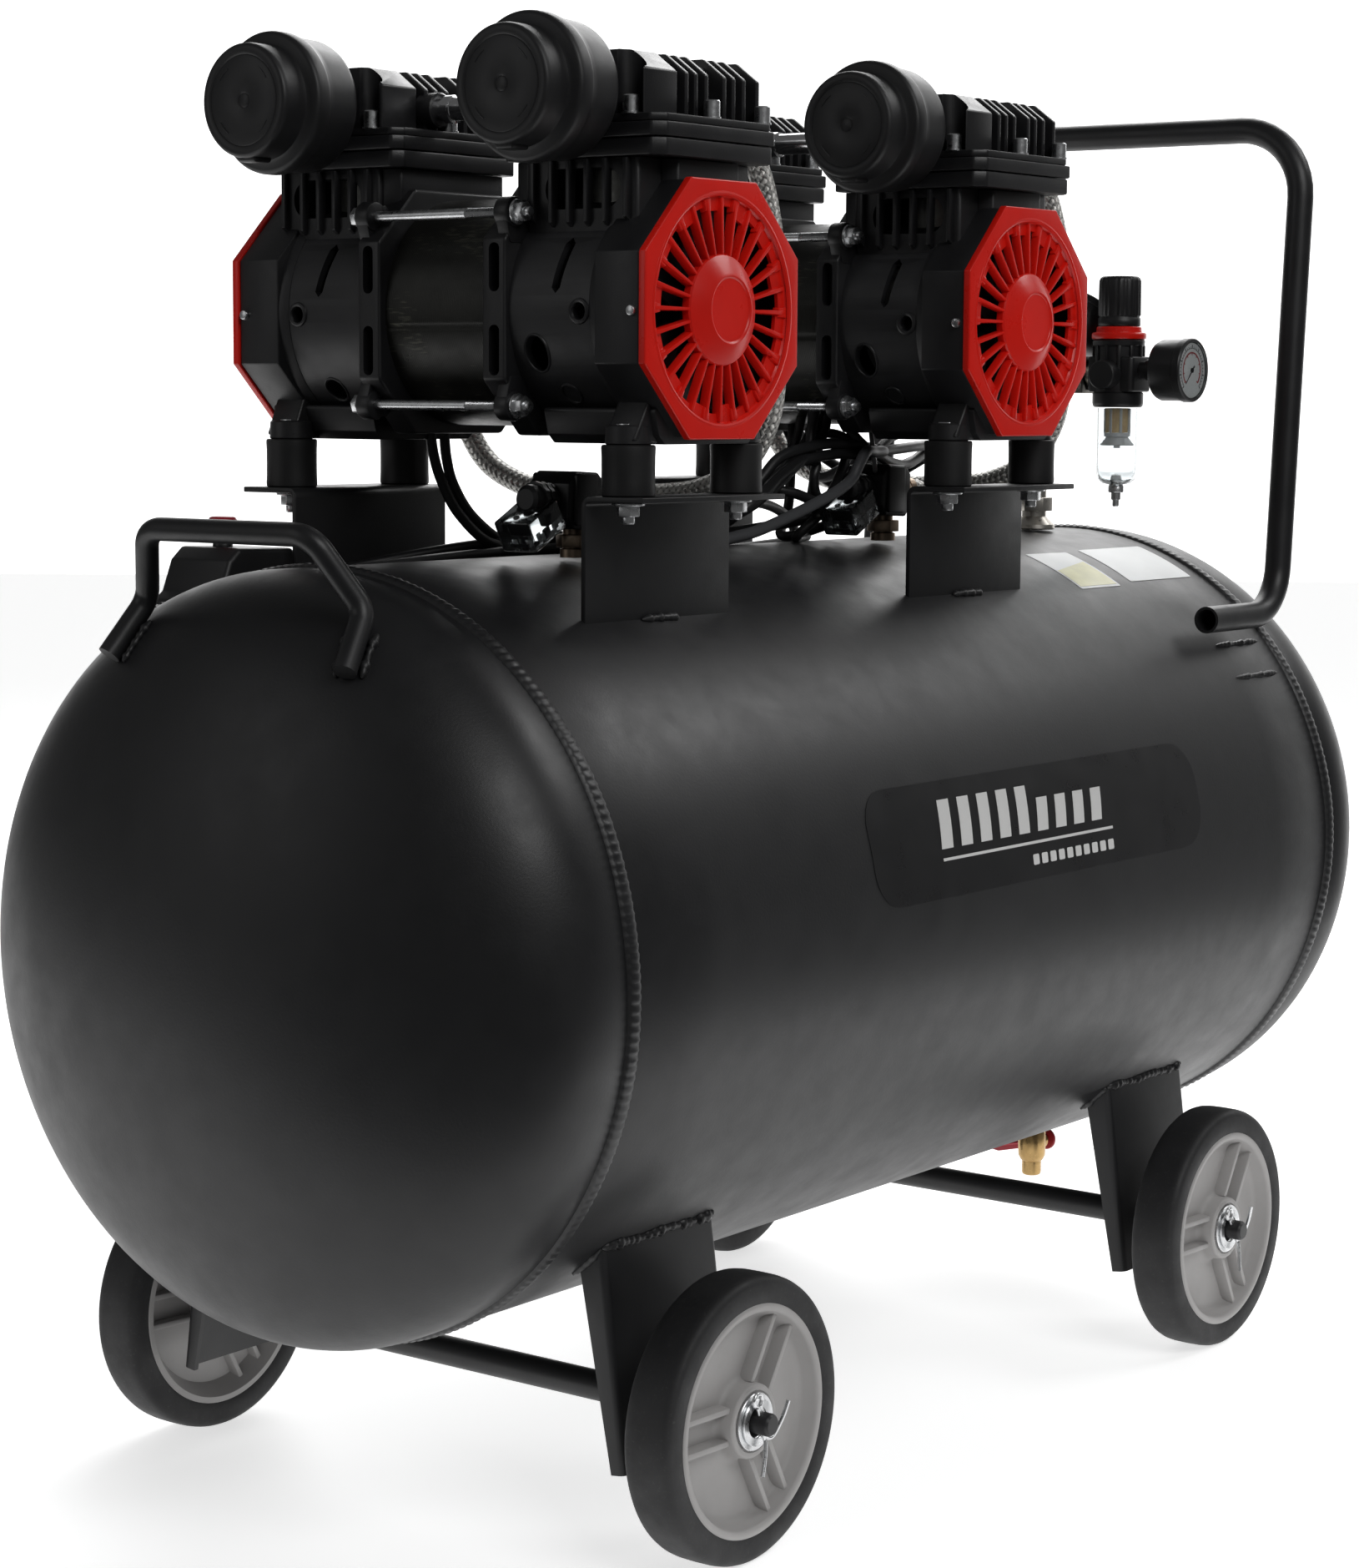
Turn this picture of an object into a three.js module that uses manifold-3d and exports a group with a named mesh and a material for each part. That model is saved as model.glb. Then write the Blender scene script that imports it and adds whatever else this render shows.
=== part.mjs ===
// Oil-free workshop air compressor: horizontal receiver on four wheels, with two
// twin-cylinder pump units lying across it. Millimetres, +Z up, +X along the
// receiver from the lifting handle to the push handle, origin on the ground under
// the receiver's middle.
import * as THREE from "three";
import { mergeVertices } from "three/addons/utils/BufferGeometryUtils.js";
import Module from "manifold-3d";

const wasm = await Module();
wasm.setup();

// ---------------------------------------------------------------- dimensions
const TANK_R = 200; // receiver shell, outside radius
const TANK_WALL = 3;
const TANK_Z = 307; // receiver axis above the ground
const SEAM_X = 371; // girth welds between shell and heads
const HEAD_SKIRT = 20; // straight skirt of each dished head
const HEAD_DEPTH = 94; // depth of the dished part
const SEAM_H = 1.6;

const WHEEL_R = 76; // tyre, outside radius
const WHEEL_W = 29;
const WHEEL_OUT = 203; // outer face of the wheels from the middle plane
const WHEEL_SEG = 20;
const AXLE_Z = WHEEL_R * Math.cos(Math.PI / WHEEL_SEG);
const AXLE_X = [-272, 238];
const AXLE_R = 8.5;
const AXLE_END_R = 7.8;
const LEG_W = 95;
const SPLAY = Math.atan2(14, 108);

const UNIT_X = [-225, 77]; // pump unit centres
const UNIT_Z = 638.5; // motor axis height
const OCT = 65; // octagonal housing, half width over flats
const OCT_F = 28; // half length of an octagon flat
const COVER = 66;
const CYL_Y = 88; // cylinder and intake filter centre from the middle plane
const DRUM_R = 62;
const STATOR_R = 60.4;
const MOUNT_X = 46.5; // rubber mounts either side of the unit centre
const MOUNT_Y = 117.5;
const MOUNT_TOP = 569.7;
const FLANGE_Z = 543.5; // top face of the pump brackets
const PLATE_Z0 = 714.5; // underside of the valve plate
const PLATE_Z1 = 735.5;
const HEAD_Z = 768;
const PORT_Z = 747; // intake filter and delivery port axis
const FILTER_R = 37.4;

const HANDLE_R = 8.5; // push handle tube
const HANDLE_Y = 159;
const LIFT_R = 6; // lifting handle rod

const REG = [310, -70]; // filter regulator centre line
const PIPE_Z = 610;
const DRAIN_X = 336;
const GAP = 0.3;

// ---------------------------------------------------------------- helpers
const V3 = (x, y, z) => new THREE.Vector3(x, y, z);

// Closed geometry as a manifold solid, turned outward if its profile ran backwards.
function solid(geometry) {
  const g = geometry.clone();
  for (const n of Object.keys(g.attributes)) if (n !== "position") g.deleteAttribute(n);
  const m = mergeVertices(g, 1e-4);
  const p = m.attributes.position.array;
  const src = m.index.array;
  const tri = [];
  for (let i = 0; i < src.length; i += 3) {
    const [a, b, c] = [src[i], src[i + 1], src[i + 2]];
    if (a !== b && b !== c && c !== a) tri.push(a, b, c);
  }
  let vol = 0;
  for (let i = 0; i < tri.length; i += 3) {
    const [a, b, c] = [tri[i] * 3, tri[i + 1] * 3, tri[i + 2] * 3];
    vol +=
      p[a] * (p[b + 1] * p[c + 2] - p[b + 2] * p[c + 1]) -
      p[a + 1] * (p[b] * p[c + 2] - p[b + 2] * p[c]) +
      p[a + 2] * (p[b] * p[c + 1] - p[b + 1] * p[c]);
  }
  if (vol < 0)
    for (let i = 0; i < tri.length; i += 3) [tri[i + 1], tri[i + 2]] = [tri[i + 2], tri[i + 1]];
  return new wasm.Manifold(
    new wasm.Mesh({ numProp: 3, vertProperties: new Float32Array(p), triVerts: new Uint32Array(tri) }),
  );
}

function geometryOf(man) {
  const m = man.getMesh();
  const g = new THREE.BufferGeometry();
  const v = new Float32Array(m.numVert * 3);
  for (let i = 0; i < m.numVert; i++)
    for (let k = 0; k < 3; k++) v[i * 3 + k] = m.vertProperties[i * m.numProp + k];
  g.setAttribute("position", new THREE.BufferAttribute(v, 3));
  g.setIndex(new THREE.BufferAttribute(new Uint32Array(m.triVerts), 1));
  const flat = g.toNonIndexed();
  flat.computeVertexNormals();
  return flat;
}

const join = (...s) => s.reduce((a, b) => a.add(b));
const cut = (s, ...t) => t.reduce((a, b) => a.subtract(b), s);

// Boxes by their corners.
function box(x0, x1, y0, y1, z0, z1) {
  return solid(new THREE.BoxGeometry(x1 - x0, y1 - y0, z1 - z0).translate((x0 + x1) / 2, (y0 + y1) / 2, (z0 + z1) / 2));
}
// Solids of revolution about the line through c along X, Y or Z; the profile is [radius, position].
function turned(axis, profile, seg, c = [0, 0, 0], half = false) {
  const g = new THREE.LatheGeometry(profile.map(([r, t]) => new THREE.Vector2(r, t)), seg);
  if (half) g.rotateY(Math.PI / seg);
  if (axis === "x") g.rotateZ(-Math.PI / 2);
  if (axis === "z") g.rotateX(Math.PI / 2);
  return solid(g.translate(...c));
}
function rod(axis, r, t0, t1, seg, c = [0, 0, 0], half = false) {
  return turned(axis, [[0, t0], [r, t0], [r, t1], [0, t1]], seg, c, half);
}
function rodBetween(a, b, r, seg) {
  const d = b.clone().sub(a);
  const g = new THREE.CylinderGeometry(r, r, d.length(), seg);
  g.applyQuaternion(new THREE.Quaternion().setFromUnitVectors(V3(0, 1, 0), d.clone().normalize()));
  g.translate(...a.clone().add(b).multiplyScalar(0.5).toArray());
  return solid(g);
}
// A prism of an XZ outline between two Y planes.
function prismXZ(points, y0, y1) {
  const s = new THREE.Shape(points.map(([x, z]) => new THREE.Vector2(x, z)));
  const g = new THREE.ExtrudeGeometry(s, { depth: y1 - y0, bevelEnabled: false });
  g.rotateX(Math.PI / 2); // (x, z, t) -> (x, -t, z)
  return solid(g.translate(0, y1, 0));
}
function octagon(a, f) {
  return [[-f, a], [f, a], [a, f], [a, -f], [f, -a], [-f, -a], [-a, -f], [-a, f]];
}
// A round tube along a route.
function tubeAlong(points, r, sides, steps, closed = false) {
  const curve = new THREE.CatmullRomCurve3(points.map((p) => V3(...p)), closed, "centripetal");
  const ring = [];
  for (let i = 0; i < sides; i++) {
    const a = (i * 2 * Math.PI) / sides;
    ring.push(new THREE.Vector2(r * Math.cos(a), r * Math.sin(a)));
  }
  return solid(new THREE.ExtrudeGeometry(new THREE.Shape(ring), { steps, bevelEnabled: false, extrudePath: curve }));
}
// Points of a route of straight runs with round corners.
function rounded(points, radii, n = 4) {
  const out = [points[0]];
  for (let i = 1; i < points.length - 1; i++) {
    const p = V3(...points[i]);
    const a = V3(...points[i - 1]).sub(p).normalize();
    const b = V3(...points[i + 1]).sub(p).normalize();
    const half = a.angleTo(b) / 2;
    const t = radii[i - 1] / Math.tan(half);
    const c = p.clone().addScaledVector(a.clone().add(b).normalize(), radii[i - 1] / Math.sin(half));
    const s = p.clone().addScaledVector(a, t).sub(c);
    const e = p.clone().addScaledVector(b, t).sub(c);
    const w = s.angleTo(e);
    for (let k = 0; k <= n; k++) {
      const u = k / n;
      const q = s.clone().multiplyScalar(Math.sin((1 - u) * w) / Math.sin(w)).addScaledVector(e, Math.sin(u * w) / Math.sin(w));
      out.push(q.add(c).toArray());
    }
  }
  out.push(points[points.length - 1]);
  return out;
}
// A tube whose rings stand square to the bisector at every point of a polyline.
function pipe(points, r, sides) {
  const P = points.map((p) => V3(...p));
  const n = P.length;
  const pos = [];
  let up = null;
  for (let i = 0; i < n; i++) {
    const din = i ? P[i].clone().sub(P[i - 1]).normalize() : P[1].clone().sub(P[0]).normalize();
    const dout = i < n - 1 ? P[i + 1].clone().sub(P[i]).normalize() : din.clone();
    const t = din.clone().add(dout).normalize();
    if (!up) up = Math.abs(t.x) < 0.9 ? V3(1, 0, 0) : V3(0, 0, 1);
    const side = new THREE.Vector3().crossVectors(t, up).normalize();
    up = new THREE.Vector3().crossVectors(side, t).normalize();
    for (let k = 0; k < sides; k++) {
      const a = (k * 2 * Math.PI) / sides;
      const q = P[i].clone().addScaledVector(side, r * Math.cos(a)).addScaledVector(up, r * Math.sin(a));
      pos.push(q.x, q.y, q.z);
    }
  }
  const idx = [];
  for (let i = 0; i < n - 1; i++)
    for (let k = 0; k < sides; k++) {
      const a = i * sides + k, b = i * sides + ((k + 1) % sides), c = a + sides, d = b + sides;
      idx.push(a, c, b, b, c, d);
    }
  const c0 = pos.length / 3;
  pos.push(P[0].x, P[0].y, P[0].z, P[n - 1].x, P[n - 1].y, P[n - 1].z);
  for (let k = 0; k < sides; k++) {
    idx.push(c0, k, (k + 1) % sides);
    idx.push(c0 + 1, (n - 1) * sides + ((k + 1) % sides), (n - 1) * sides + k);
  }
  const g = new THREE.BufferGeometry();
  g.setAttribute("position", new THREE.BufferAttribute(new Float32Array(pos), 3));
  g.setIndex(idx);
  return solid(g);
}

// ---------------------------------------------------------------- materials
const mat = (color, roughness, metalness) => () => new THREE.MeshStandardMaterial({ color, roughness, metalness });
const POWDER = mat(0x141416, 0.42, 0.15);
const CAST = mat(0x121213, 0.5, 0.2);
const RED = mat(0xc4120e, 0.28, 0.0);
const BLACK_PLASTIC = mat(0x111112, 0.45, 0.0);
const RUBBER = mat(0x0f0f10, 0.75, 0.0);
const HUB = mat(0x8f9092, 0.5, 0.0);
const LAMINATION = mat(0x24241f, 0.45, 0.6);
const STEEL = mat(0xb9bbbd, 0.3, 1.0);
const BRASS = mat(0xb98d3f, 0.3, 1.0);
const BRAID = mat(0x8e8c88, 0.4, 0.8);
const LEVER = mat(0xa3121d, 0.4, 0.1);
const CLEAR = mat(0xdfe6e8, 0.1, 0.0);

const compressor = new THREE.Group();
compressor.name = "air_compressor";
const frame = new THREE.Group(); // receiver and everything welded to it
compressor.add(frame);

function mesh(parent, name, man, material, position) {
  const m = new THREE.Mesh(geometryOf(man), material());
  m.name = name;
  if (position) m.position.set(...position);
  parent.add(m);
  return m;
}

// ---------------------------------------------------------------- receiver
function vesselProfile(grow, bead, n) {
  const r = TANK_R + grow;
  const x1 = SEAM_X + HEAD_SKIRT;
  const d = HEAD_DEPTH + grow;
  const pts = [];
  for (let i = 0; i <= n; i++) {
    const u = (i / n) * (Math.PI / 2);
    pts.push([i === 0 ? 0 : r * Math.sin(u), -(x1 + d * Math.cos(u))]);
  }
  pts[pts.length - 1] = [r, -x1];
  if (bead) pts.push([r, -SEAM_X - 4], [r + SEAM_H, -SEAM_X], [r, -SEAM_X + 4]);
  const mirror = pts.slice().reverse().map(([a, b]) => [a, -b]);
  return pts.concat(mirror);
}
const TANK_SEG = 26;
const receiverOuter = turned("x", vesselProfile(0, true, 6), TANK_SEG, [0, 0, TANK_Z], true);
const receiverInner = turned("x", vesselProfile(-TANK_WALL, false, 4), TANK_SEG, [0, 0, TANK_Z], true);
const envelope = turned("x", vesselProfile(GAP + 0.05, false, 6), TANK_SEG, [0, 0, TANK_Z], true);
const beadEnvelope = turned("x", vesselProfile(GAP + 0.05, true, 6), TANK_SEG, [0, 0, TANK_Z], true);
const drainPort = rod("z", 6, TANK_Z - TANK_R - 10, TANK_Z - TANK_R + 20, 12, [DRAIN_X, 0, 0]);
const outletPort = rod("z", 5, TANK_Z + TANK_R - 20, TANK_Z + TANK_R + 10, 12, [REG[0], -8, 0]);
mesh(frame, "air_tank", cut(receiverOuter, receiverInner, drainPort, outletPort), POWDER);

// ---------------------------------------------------------------- legs and axles
function leg(axleX, s) {
  // Built with its bottom edge on the X axis, then tilted outward and set in place.
  const h = 150;
  const web = box(-LEG_W / 2, LEG_W / 2, 0, 3, 0, h);
  // Tapered inward flanges along both edges of the web.
  const fl = (x0, x1) => {
    const g = new THREE.BufferGeometry();
    const q = [[0, 0], [9, 0], [19, h], [0, h]];
    const pos = [];
    for (const x of [x0, x1]) for (const [y, z] of q) pos.push(x, y, z);
    g.setAttribute("position", new THREE.BufferAttribute(new Float32Array(pos), 3));
    g.setIndex([0, 3, 2, 0, 2, 1, 4, 5, 6, 4, 6, 7, 0, 1, 5, 0, 5, 4, 1, 2, 6, 1, 6, 5, 2, 3, 7, 2, 7, 6, 3, 0, 4, 3, 4, 7]);
    return solid(g);
  };
  let m = join(web, fl(-LEG_W / 2, -LEG_W / 2 + 3), fl(LEG_W / 2 - 3, LEG_W / 2));
  m = m.rotate([(-SPLAY * 180) / Math.PI, 0, 0]).translate([axleX - 3, -158, 50]);
  if (s > 0) m = m.mirror([0, 1, 0]);
  const hole = rod("y", AXLE_END_R + GAP, 140, 170, 16, [axleX, 0, AXLE_Z]);
  return cut(m, envelope, s > 0 ? hole : hole.mirror([0, 1, 0]));
}
const FR = ["front", "rear"];
AXLE_X.forEach((x, i) => {
  mesh(frame, `leg_${FR[i]}_right`, leg(x, -1), POWDER);
  mesh(frame, `leg_${FR[i]}_left`, leg(x, 1), POWDER);
  const end = WHEEL_OUT + 11;
  mesh(
    frame,
    `axle_${FR[i]}`,
    turned("y", [[0, -end], [AXLE_END_R - 1, -end], [AXLE_END_R, -end + 1], [AXLE_END_R, -149], [AXLE_R, -149], [AXLE_R, 149], [AXLE_END_R, 149], [AXLE_END_R, end - 1], [AXLE_END_R - 1, end], [0, end]], 10),
    POWDER,
    [x, 0, AXLE_Z],
  );
});

// ---------------------------------------------------------------- wheels
const wheelShape = (() => {
  const w = WHEEL_W / 2;
  const side = [[16, w], [17, w - 7], [53, w - 7], [55.5, w], [72.5, w], [WHEEL_R, w - 3.8]];
  const bore = AXLE_END_R + 0.35;
  const prof = [[bore, w], ...side, ...side.slice().reverse().map(([r, t]) => [r, -t]), [bore, -w], [bore, w]];
  return turned("y", prof, WHEEL_SEG, [0, 0, 0], true);
})();
AXLE_X.forEach((x, i) => {
  for (const [side, s] of [["right", -1], ["left", 1]])
    mesh(compressor, `wheel_${FR[i]}_${side}`, wheelShape, RUBBER, [x, s * (WHEEL_OUT - WHEEL_W / 2), AXLE_Z]);
});

// ---------------------------------------------------------------- handles
{
  const top = 771;
  const route = rounded(
    [[272, -HANDLE_Y, 455.6], [366.5, -HANDLE_Y, 455.6], [396, -HANDLE_Y + 3, top], [396, HANDLE_Y - 3, top], [366.5, HANDLE_Y, 455.6], [272, HANDLE_Y, 455.6]],
    [34, 46, 46, 34],
    4,
  );
  let m = pipe(route, HANDLE_R, 10);
  const bore = rodBetween(V3(265, -HANDLE_Y, 455.6), V3(318, -HANDLE_Y, 455.6), HANDLE_R - 2, 8);
  m = cut(m, bore, bore.mirror([0, 1, 0]), beadEnvelope);
  mesh(frame, "push_handle", m, POWDER);
}
{
  // Rod handle on the front head: the feet lie on the head along its slope.
  const onHead = (y, z, lift) => {
    const e = (v) => {
      const q = (v.y * v.y + (v.z - TANK_Z) * (v.z - TANK_Z)) / (TANK_R * TANK_R);
      return -(SEAM_X + HEAD_SKIRT) - HEAD_DEPTH * Math.sqrt(Math.max(0, 1 - q));
    };
    const p = V3(0, y, z);
    p.x = e(p);
    const n = V3((p.x + SEAM_X + HEAD_SKIRT) / (HEAD_DEPTH * HEAD_DEPTH), y / (TANK_R * TANK_R), (z - TANK_Z) / (TANK_R * TANK_R)).normalize();
    return p.addScaledVector(n, lift).toArray();
  };
  const foot = (s) => [onHead(s * 79, 459, LIFT_R + 0.9), onHead(s * 72, 484, LIFT_R + 2.2)];
  const [fr0, fr1] = foot(-1);
  const [fl0, fl1] = foot(1);
  const route = rounded([fr0, fr1, [-441, -56, 527], [-441, 56, 527], fl1, fl0], [12, 16, 16, 12], 3);
  mesh(frame, "lifting_handle", cut(pipe(route, LIFT_R, 8), envelope), POWDER);
}

// ---------------------------------------------------------------- pump brackets
UNIT_X.forEach((ux, i) => {
  for (const [side, s] of [["right", -1], ["left", 1]]) {
    const cx = ux - 0.5;
    let m = join(
      box(cx - 62, cx + 62, -102.5, -99.5, 470, FLANGE_Z),
      box(cx - 62, cx + 62, -139, -99.5, FLANGE_Z - 3, FLANGE_Z),
    );
    if (s > 0) m = m.mirror([0, 1, 0]);
    mesh(frame, `pump_bracket_${i + 1}_${side}`, cut(m, envelope), POWDER);
    for (const [e, d] of [["front", -1], ["rear", 1]])
      mesh(
        frame,
        `rubber_mount_${i + 1}_${side}_${e}`,
        turned("z", [[0, FLANGE_Z + GAP], [14, FLANGE_Z + GAP], [14, MOUNT_TOP], [0, MOUNT_TOP]], 12),
        RUBBER,
        [ux + d * MOUNT_X, s * MOUNT_Y, 0],
      );
  }
});

// ---------------------------------------------------------------- pump units
// Shapes are made for the +Y end about the motor axis and mirrored for the other.
const crankcaseShape = (side) => {
  const body = join(
    prismXZ(octagon(OCT, 36), 35.5, 51), // flange over the stator
    rod("y", DRUM_R, 50, 110, 18, [0, 0, 0], true),
    prismXZ(octagon(OCT, OCT_F), 110, 138),
    box(-41, 41, 60, 135, -68.5, -48),
    box(-48, 48, 50, 124, 42, PLATE_Z0 - UNIT_Z - 0.4),
    // feet over the rubber mounts and ears for the tie rods
    box(-MOUNT_X - 10, MOUNT_X + 10, 106, 129, -68.5, -56),
    ...[-1, 1].map((a) => box(a * 58 - 8, a * 58 + 8, 44, 51, -57, 57)),
  );
  const tools = [
    rod("y", STATOR_R + GAP + 0.1, 30, 51, 24, [0, 0, 0], true),
    rod("y", DRUM_R - 4, 51, 105, 18, [0, 0, 0], true),
    rod("y", 30, 100, 115, 10),
    rod("y", 60.5, 111, 140, 18, [0, 0, 0], true),
    rod("z", 30, 20, 80, 12, [0, CYL_Y, 0]), // cylinder bore
    // window across the cylinder block
    prismYZ([[-22, 51], [22, 51], [27, 60], [22, 69], [-22, 69], [-27, 60]].map(([y, z]) => [y + CYL_Y, z]), -60, 60),
    // air slots in the flange and drum
    box(-75, -58, 40, 47, 8, 33),
    box(-75, -58, 40, 47, -33, -7),
    box(-70, -40, 80, 86, 11, 36),
    side < 0 ? rod("x", 8, -70, -40, 6, [0, 66.6, -22.5]) : rod("x", 6.5, -70, -30, 6, [0, 84, -41.5]),
  ];
  return cut(body, ...tools);
};
// A prism of a YZ outline between two X planes.
function prismYZ(points, x0, x1) {
  const s = new THREE.Shape(points.map(([y, z]) => new THREE.Vector2(y, z)));
  const g = new THREE.ExtrudeGeometry(s, { depth: x1 - x0, bevelEnabled: false });
  // (y, z, t) -> (t, y, z)
  g.applyMatrix4(new THREE.Matrix4().set(0, 0, 1, 0, 1, 0, 0, 0, 0, 1, 0, 0, 0, 0, 0, 1));
  return solid(g.translate(x0, 0, 0));
}

const headShape = (() => {
  const z0 = PLATE_Z0 - UNIT_Z, z1 = PLATE_Z1 - UNIT_Z, z2 = HEAD_Z - UNIT_Z;
  const plate = solid(
    (() => {
      const s = new THREE.Shape([[-52, 38], [-48, 34.5], [48, 34.5], [52, 38], [52, 137], [48, 141], [-48, 141], [-52, 137]].map(([x, y]) => new THREE.Vector2(x, y)));
      return new THREE.ExtrudeGeometry(s, { depth: z1 - z0, bevelEnabled: false }).translate(0, 0, z0);
    })(),
  );
  const crown = cut(prismYZ([[48.4, z1 - 1], [127.6, z1 - 1], [127.6, z2 - 10], [114, z2], [62, z2], [48.4, z2 - 10]], -48, 51), rod("z", 8, z1, z2 + 5, 10, [-48, 119, 0]));
  const boss = rod("y", 9.5, 40, 60, 10, [-9, 0, PORT_Z - UNIT_Z]);
  const hosePort = rod("x", 8, 45, 58, 8, [0, CYL_Y, PORT_Z - UNIT_Z]);
  const slots = [[-18, -14.5], [-3, 2.5], [29, 35], [38.5, 47]].map(([a, b]) => box(a, b, 30, 150, z2 - 22, z2 + 5));
  const ring = rod("z", 15, z1, z2 - 3, 10, [20, CYL_Y, 0]);
  return cut(join(cut(join(plate, crown), ...slots), boss, hosePort, ring));
})();

const filterShape = turned(
  "x",
  [[0, -113], [29.8, -113], [29.8, -95.5], [FILTER_R, -93], [FILTER_R, -84], [35.3, -59.5], [11, -59.5], [11, -48 - GAP], [0, -48 - GAP]],
  18,
);

const coverShape = (() => {
  const plate = prismXZ(octagon(COVER, OCT_F), 138 + GAP, 143);
  const cone = turned("y", [[0, 140], [28.5, 140], [28.5, 142.5], [17.5, 148], [0, 148]], 16);
  const N = 10;
  const slots = [];
  for (let k = 0; k < N; k++) {
    const a = ((k + 0.5) * 2 * Math.PI) / N;
    const w = 6.5, W = 12, r0 = 31, r1 = 53;
    const c = Math.cos(a), s = Math.sin(a);
    const q = [[r0, -w], [r1, -W], [r1, W], [r0, w]].map(([r, t]) => [r * c - t * s, r * s + t * c]);
    slots.push(prismXZ(q, 130, 150));
  }
  return cut(join(plate, cone), ...slots);
})();

const statorShape = turned(
  "y",
  [[34.5, -50.6], [STATOR_R, -50.6], [STATOR_R, 50.6], [34.5, 50.6], [34.5, -50.6]],
  24,
  [0, 0, 0],
  true,
);

const rotorShape = (() => {
  const end = (s) => {
    const hub = rod("y", 16, 113, 132, 8);
    const blades = [];
    for (let k = 0; k < 6; k++) {
      const b = solid(new THREE.BoxGeometry(40, 17, 1.8).rotateX(0.55).translate(33, 123, 0).rotateY((k * 2 * Math.PI) / 6));
      blades.push(b);
    }
    const m = join(hub, ...blades, rod("y", 15, 82, 94, 8, [5, 0, 0]));
    return s > 0 ? m : m.mirror([0, 1, 0]);
  };
  return join(rod("y", 7.5, -134, 134, 8), rod("y", 33, -48, 48, 12), end(1), end(-1));
})();

UNIT_X.forEach((ux, i) => {
  const unit = new THREE.Group();
  unit.position.set(ux, 0, UNIT_Z);
  compressor.add(unit);
  const n = i + 1;
  for (const [side, s] of [["right", -1], ["left", 1]]) {
    const put = (m) => (s > 0 ? m : m.mirror([0, 1, 0]));
    mesh(unit, `crankcase_${n}_${side}`, put(crankcaseShape(s)), CAST);
    mesh(unit, `cylinder_head_${n}_${side}`, put(headShape), CAST);
    mesh(unit, `fan_cover_${n}_${side}`, put(coverShape), RED);
    mesh(unit, `intake_filter_${n}_${side}`, filterShape, BLACK_PLASTIC, [0, s * CYL_Y, PORT_Z - UNIT_Z]);
  }
  mesh(unit, `stator_${n}`, statorShape, LAMINATION);
  mesh(unit, `rotor_${n}`, rotorShape, STEEL);
  mesh(unit, `cross_tube_${n}`, rod("y", 6.4, -39.6, 39.6, 10), STEEL, [-9, 0, PORT_Z - UNIT_Z]);
  // Braided delivery hose from one head, under the stator, to the other.
  const up = [[60.6, CYL_Y, 108.5], [72, 89.5, 106.5], [82, 98, 92], [87, 107, 62], [87, 113, 20], [87, 114.5, -20], [87, 113, -46], [87, 103, -72], [87, 80, -91], [87, 48, -98]];
  const down = up.slice().reverse().map(([x, y, z]) => [x, -y - (z < -30 ? 2 : z < 60 ? 3 : 0), z]);
  mesh(unit, `delivery_hose_${n}`, tubeAlong([...up.slice(0, 9), [87, 46, -97.5], [87, 0, -98.5], [87, -46, -97.5], ...down.slice(1)], 6.5, 8, 26), BRAID);

  // Unloader solenoid valve on the receiver between the brackets.
  const sol = new THREE.Group();
  sol.position.set(ux + 10, -30, 538);
  compressor.add(sol);
  const valve = join(
    box(-15, 21, -14, 14, -15, 16),
    rod("x", 8, -34, -14, 12),
    rod("x", 7, 20, 38, 12),
    solid(new THREE.BoxGeometry(28, 24, 18).rotateY(-0.49).translate(-28, 0, -11)),
    box(19, 30, -9, 9, -9, 9),
    rod("z", 8, -29, -10, 12, [4, 0, 0]),
  );
  mesh(sol, `unloader_valve_${n}`, valve, BLACK_PLASTIC);
});

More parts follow.
